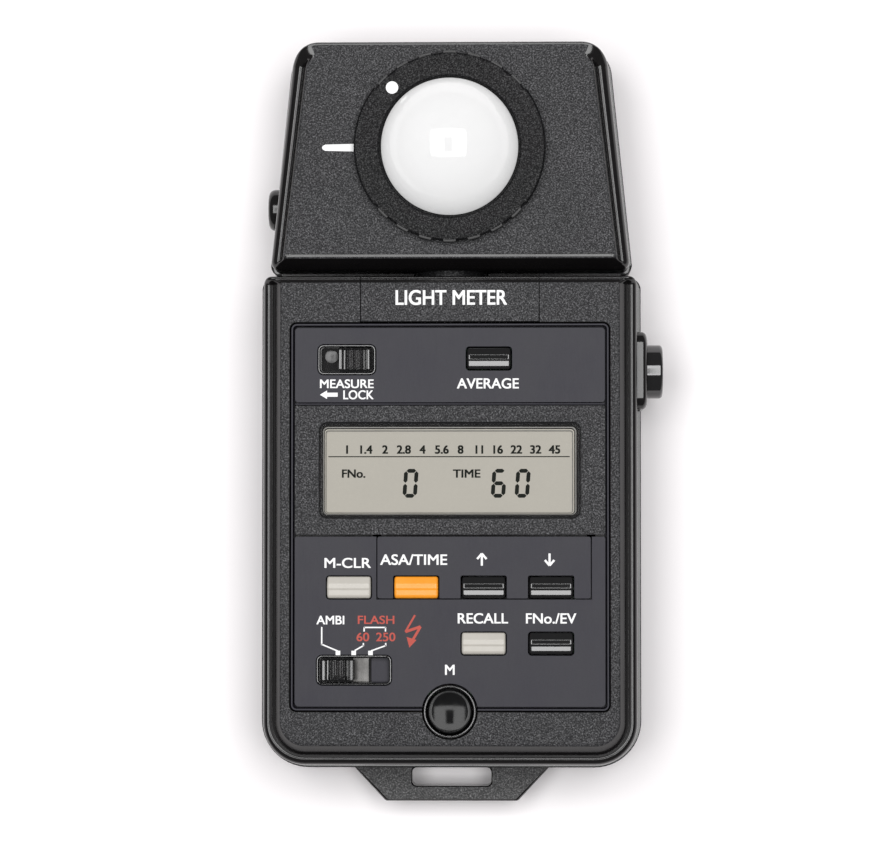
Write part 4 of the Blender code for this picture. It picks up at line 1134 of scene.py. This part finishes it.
def add_words(bm, words, centre, baseline, cap, width, z, bold=BOLD):
    points, faces = letter_shape(words)
    left = min(point.x for point in points)
    right = max(point.x for point in points)
    thick = cap * bold
    y_scale = (cap - thick * 0.6) / CAP
    x_scale = (width - thick) / (right - left) if width else y_scale
    for layer, (along, up) in enumerate(((-1, -1), (1, -1), (1, 1), (-1, 1), (0, 0))):
        made = []
        for point in points:
            x = centre + (point.x - (left + right) / 2) * x_scale + along * thick / 2
            y = baseline + point.y * y_scale + (up + 1) * thick * 0.3
            made.append(bm.verts.new((x, y, z + LAYER * layer)))
        for face in faces:
            bm.faces.new([made[index] for index in face])


def add_flat(bm, points, z):
    bm.faces.new([bm.verts.new((x, y, z)) for x, y, *_ in points])


def add_line(bm, start, end, width, z):
    a, b = Vector(start), Vector(end)
    side = (b - a).normalized().orthogonal() * width / 2
    add_flat(bm, [a + side, b + side, b - side, a - side], z)


def print_piece(name, bm, kind, body):
    """Flat print, all of it facing up."""
    bmesh.ops.scale(bm, vec=(MM, MM, MM), verts=bm.verts)
    bm.normal_update()
    for face in bm.faces:
        if face.normal.z < 0:
            face.normal_flip()
    attach(mesh_object(name, bm, [kind]), body, kind)


def add_arrow(bm, x, y, up, z):
    """A small arrow of a stem and an open head. up is 1 or -1."""
    tip = y + up * 0.95
    add_line(bm, (x, tip - up * 0.1), (x, y - up * 1.2), 0.42, z)
    add_line(bm, (x, tip + up * 0.22), (x - 0.92, tip - up * 0.85), 0.42, z + LAYER)
    add_line(bm, (x, tip + up * 0.22), (x + 0.92, tip - up * 0.85), 0.42, z + LAYER * 2)


# words, middle, baseline, height of a capital and width
WHITE_WORDS = (
    ("MEASURE", -20.3, 6.8, 1.7, 10.6), ("LOCK", -18.0, 4.6, 1.75, 6.0), ("AVERAGE", 7.5, 6.7, 2.0, 12.2),
    ("M-CLR", -20.1, -28.6, 1.95, 9.15), ("RECALL", 6.5, -39.5, 2.0, 9.9), ("FNo./EV", 19.9, -39.5, 2.0, 9.9),
    ("AMBI", -23.5, -39.7, 1.7, 5.5), ("M", 0.0, -49.6, 2.0, 1.9),
)
RED_WORDS = (("FLASH", -14.5, -39.6, 1.6, 7.2), ("60", -17.1, -43.0, 1.67, 2.5),
             ("250", -12.6, -43.0, 1.67, 3.8))
# Lines from the mode switch's words down to its three places
LEADERS = (
    ((-16.9, -40.3), (-12.6, -40.3)), ((-16.85, -40.2), (-16.85, -41.1)), ((-12.65, -40.2), (-12.65, -41.1)),
    ((-25.2, -40.2), (-25.2, -43.7)), ((-25.25, -43.6), (-22.0, -44.95)), ((-17.0, -43.35), (-17.0, -44.0)),
    ((-16.95, -43.85), (-18.7, -44.85)), ((-12.6, -43.35), (-12.6, -44.0)), ((-12.55, -43.85), (-15.5, -44.9)),
)
APERTURES = ("1", "1.4", "2", "2.8", "4", "5.6", "8", "11", "16", "22", "32", "45")
APERTURE_X = (-20.3, -16.5, -12.8, -9.1, -5.4, -1.6, 2.1, 5.8, 9.5, 13.1, 16.9, 20.6)
ARROWS = ((6.3, 1), (19.6, -1))  # middle, and 1 up or -1 down
ARROW_Y = -26.95
MODE_MARKS = (-22.0, -18.9, -15.6)
BOLT = ((-6.85, -37.88), (-8.74, -41.15), (-5.75, -40.13), (-7.44, -43.0))
BOLT_WIDTHS = (0.38, 0.55, 0.5)
BOLT_TIP = ((-7.95, -44.25), (-6.55, -42.75), (-8.5, -42.15))


def make_printing():
    panel = PANEL_Z[1] + LIFT
    field = FIELD_Z + LIFT
    white = bmesh.new()
    for words, centre, baseline, cap, width in WHITE_WORDS:
        add_words(white, words, centre, baseline, cap, width, panel)
    add_words(white, "ASA/TIME", -7.1, -28.0, 2.05, 13.2, field)
    add_words(white, "LIGHT METER", 0.3, 23.2, 2.9, 22.0, FACE_PRINT_Z)
    for x, up in ARROWS:
        add_arrow(white, x, ARROW_Y, up, field)
    add_line(white, (-24.2, 5.5), (-22.1, 5.5), 0.8, panel)
    add_flat(white, [(-25.6, 5.5), (-24.2, 6.35), (-24.2, 4.65)], panel)
    for start, end in LEADERS:
        add_line(white, start, end, 0.27, panel)
    for x in MODE_MARKS:
        add_line(white, (x - 0.45, -45.3), (x + 0.45, -45.3), 0.85, panel + LAYER)
    print_piece("white_printing", white, "print_white", "body")

    red = bmesh.new()
    for words, centre, baseline, cap, width in RED_WORDS:
        add_words(red, words, centre, baseline, cap, width, panel)
    for index, width in enumerate(BOLT_WIDTHS):
        add_line(red, BOLT[index], BOLT[index + 1], width, panel + LAYER * index)
    add_flat(red, BOLT_TIP, panel + LAYER * 3)
    print_piece("red_printing", red, "print_red", "body")

    mark = bmesh.new()
    tip = [(-24.6, RECEPTOR_Y + 0.62), (-25.1, RECEPTOR_Y + 0.35), (-25.25, RECEPTOR_Y)]
    tip += [(-25.1, RECEPTOR_Y - 0.35), (-24.6, RECEPTOR_Y - 0.62)]
    add_flat(mark, [*tip, (-19.0, RECEPTOR_Y - 0.75), (-19.0, RECEPTOR_Y + 0.75)], FACE_PRINT_Z)
    print_piece("index_line", mark, "print_white", "head")
    dot = bmesh.new()
    add_flat(dot, circle(-11.3, RECEPTOR_Y + 11.55, 1.22, 40), RING_TOP_Z - 0.02)
    print_piece("index_dot", dot, "print_white", "diffuser")


# (start, end) of each seven-segment stroke on a unit digit, as (x, y) shares
STROKES = {
    "a": ((0, 1), (1, 1)), "b": ((1, 1), (1, 0.5)), "c": ((1, 0.5), (1, 0)), "d": ((0, 0), (1, 0)),
    "e": ((0, 0.5), (0, 0)), "f": ((0, 1), (0, 0.5)), "g": ((0, 0.5), (1, 0.5)),
}
DIGITS = (("abcdef", -9.4), ("acdefg", 8.0), ("abcdef", 12.7))
DIGIT_LOW, DIGIT_HEIGHT, DIGIT_WIDTH, STROKE, SLANT = -14.8, 5.7, 2.85, 0.78, 0.07
SCALE_BASE, SCALE_LINE, CAPTION_BASE = -6.12, -6.7, -10.85


def add_stroke(bm, start, end, left, z):
    """A six-sided bar, pointed at both ends and leaning with the digit."""
    inner_w, inner_h = DIGIT_WIDTH - STROKE, DIGIT_HEIGHT - STROKE
    a = Vector((left + STROKE / 2 + start[0] * inner_w, DIGIT_LOW + STROKE / 2 + start[1] * inner_h))
    b = Vector((left + STROKE / 2 + end[0] * inner_w, DIGIT_LOW + STROKE / 2 + end[1] * inner_h))
    way = (b - a).normalized()
    a, b = a + way * 0.08, b - way * 0.08
    side = Vector((-way.y, way.x)) * STROKE / 2
    tip = way * STROKE / 2
    points = [a, a + tip + side, b - tip + side, b, b - tip - side, a + tip - side]
    leaning = [(p.x + (p.y - DIGIT_LOW) * SLANT, p.y) for p in points]
    add_flat(bm, leaning, z)


def make_readout():
    z = LCD_Z + LIFT
    marks = bmesh.new()
    for words, x in zip(APERTURES, APERTURE_X):
        add_words(marks, words, x, SCALE_BASE, 1.66, None, z, 0.1)
    add_words(marks, "FNo.", -19.0, CAPTION_BASE, 1.64, 4.65, z, 0.09)
    add_words(marks, "TIME", 3.3, CAPTION_BASE, 1.64, 5.45, z, 0.09)
    add_line(marks, (-24.0, SCALE_LINE), (23.6, SCALE_LINE), 0.2, z)
    for segments, left in DIGITS:
        for name in segments:
            add_stroke(marks, *STROKES[name], left, z)
    print_piece("display_marks", marks, "segment_dark", "body")


# Everything else keeps its CAD shape

CARRIED = {
    "swivel_bearing": "wall_black", "neck_retainer": "steel", "battery": "steel", "battery_spring": "steel",
    "swivel_neck": "wall_black", "receptor_base": "smooth_black", "photocell": "display_grey",
    "correction_filter": "clear", "sensor_board": "board_green", "lcd_reflector": "light_grey",
    "upper_connector_strip": "rubber_grey", "lower_connector_strip": "rubber_grey",
    "main_circuit_board": "board_green", "processor_chip": "smooth_black", "key_mat": "rubber_grey",
    "average_switch": "rubber_grey", "measuring_switch": "smooth_black", "battery_contact": "brass",
}


def dress_carried():
    for name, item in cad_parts.items():
        item.data.materials.clear()
        item.data.materials.append(MATERIALS[CARRIED.get(name, "smooth_black")])


# Photo set-up

CAMERA_AT = Vector((15.0, -20.0, 662.5))
CAMERA_AIM = Vector((-0.55, -1.87, 25.0))
FRAME_WIDTH = 175.94  # seen at the display's height
SENSOR_WIDTH = 36.0
LIGHT_Z = 1000.0
RADIANCE = 6.7
ROOM_LIGHT = (0.16, 0.157, 0.16, 1.0)
FLOOR_HALF, FLOOR_DROP = 6000.0, 0.3
# Panels of the overhead softbox, left clear round the camera: left, right, low, top
SOFTBOX = ((-520, -130, -282, 468), (90, 480, -282, 468), (-130, 90, 240, 468), (-130, 90, -282, -160))


def make_camera():
    data = bpy.data.cameras.new("camera")
    camera = add_object("camera", data)
    back = (CAMERA_AT - CAMERA_AIM).normalized()
    side = Vector((0, 1, 0)).cross(back).normalized()
    up = back.cross(side)
    turn = Matrix((side, up, back)).transposed().to_4x4()
    camera.matrix_world = Matrix.Translation(CAMERA_AT * MM) @ turn
    data.sensor_width = SENSOR_WIDTH
    data.lens = SENSOR_WIDTH * (CAMERA_AT - CAMERA_AIM).length / FRAME_WIDTH
    data.clip_start, data.clip_end = 0.01, 50.0
    bpy.context.scene.camera = camera


def make_lights():
    for index, (left, right, low, top) in enumerate(SOFTBOX):
        data = bpy.data.lights.new(f"softbox_{index}", "AREA")
        data.shape = "RECTANGLE"
        data.size, data.size_y = (right - left) * MM, (top - low) * MM
        data.energy = RADIANCE * math.pi * data.size * data.size_y
        middle = Vector(((left + right) / 2, (low + top) / 2, LIGHT_Z))
        add_object(f"softbox_{index}", data).location = middle * MM
    world = bpy.data.worlds.new("world")
    world.use_nodes = True
    world.node_tree.nodes["Background"].inputs["Color"].default_value = ROOM_LIGHT
    bpy.context.scene.world = world


def make_floor():
    made = Finish("floor_white")
    patch = made.span(made.noise(9.0, 4.0), 0.3, 0.7)
    tint = made.mix(patch, (0.93, 0.905, 0.912, 1), (0.945, 0.92, 0.927, 1))
    made.put(Base_Color=tint, Roughness=made.span(made.noise(40.0), 0.3, 0.7, 0.6, 0.8),
             Normal=made.bump(made.noise(700.0, 3.0), 0.01), Specular_IOR_Level=0.15)
    bm = bmesh.new()
    bmesh.ops.create_grid(bm, x_segments=1, y_segments=1, size=FLOOR_HALF * MM)
    floor = mesh_object("floor", bm, ["floor_white"])
    floor.location.z = -FLOOR_DROP * MM


def build():
    dress_carried()
    make_front()
    make_rear()
    make_head()
    make_cover()
    make_border()
    make_panels()
    make_backing()
    make_display()
    for name in KEYS:
        make_key(name)
    make_switches()
    make_memory_button()
    make_side_button()
    make_ring()
    make_dome()
    make_sync()
    make_lug()
    make_door()
    make_screws()
    make_printing()
    make_readout()
    make_camera()
    make_lights()
    make_floor()
    bpy.context.scene.view_settings.view_transform = "Standard"


build()
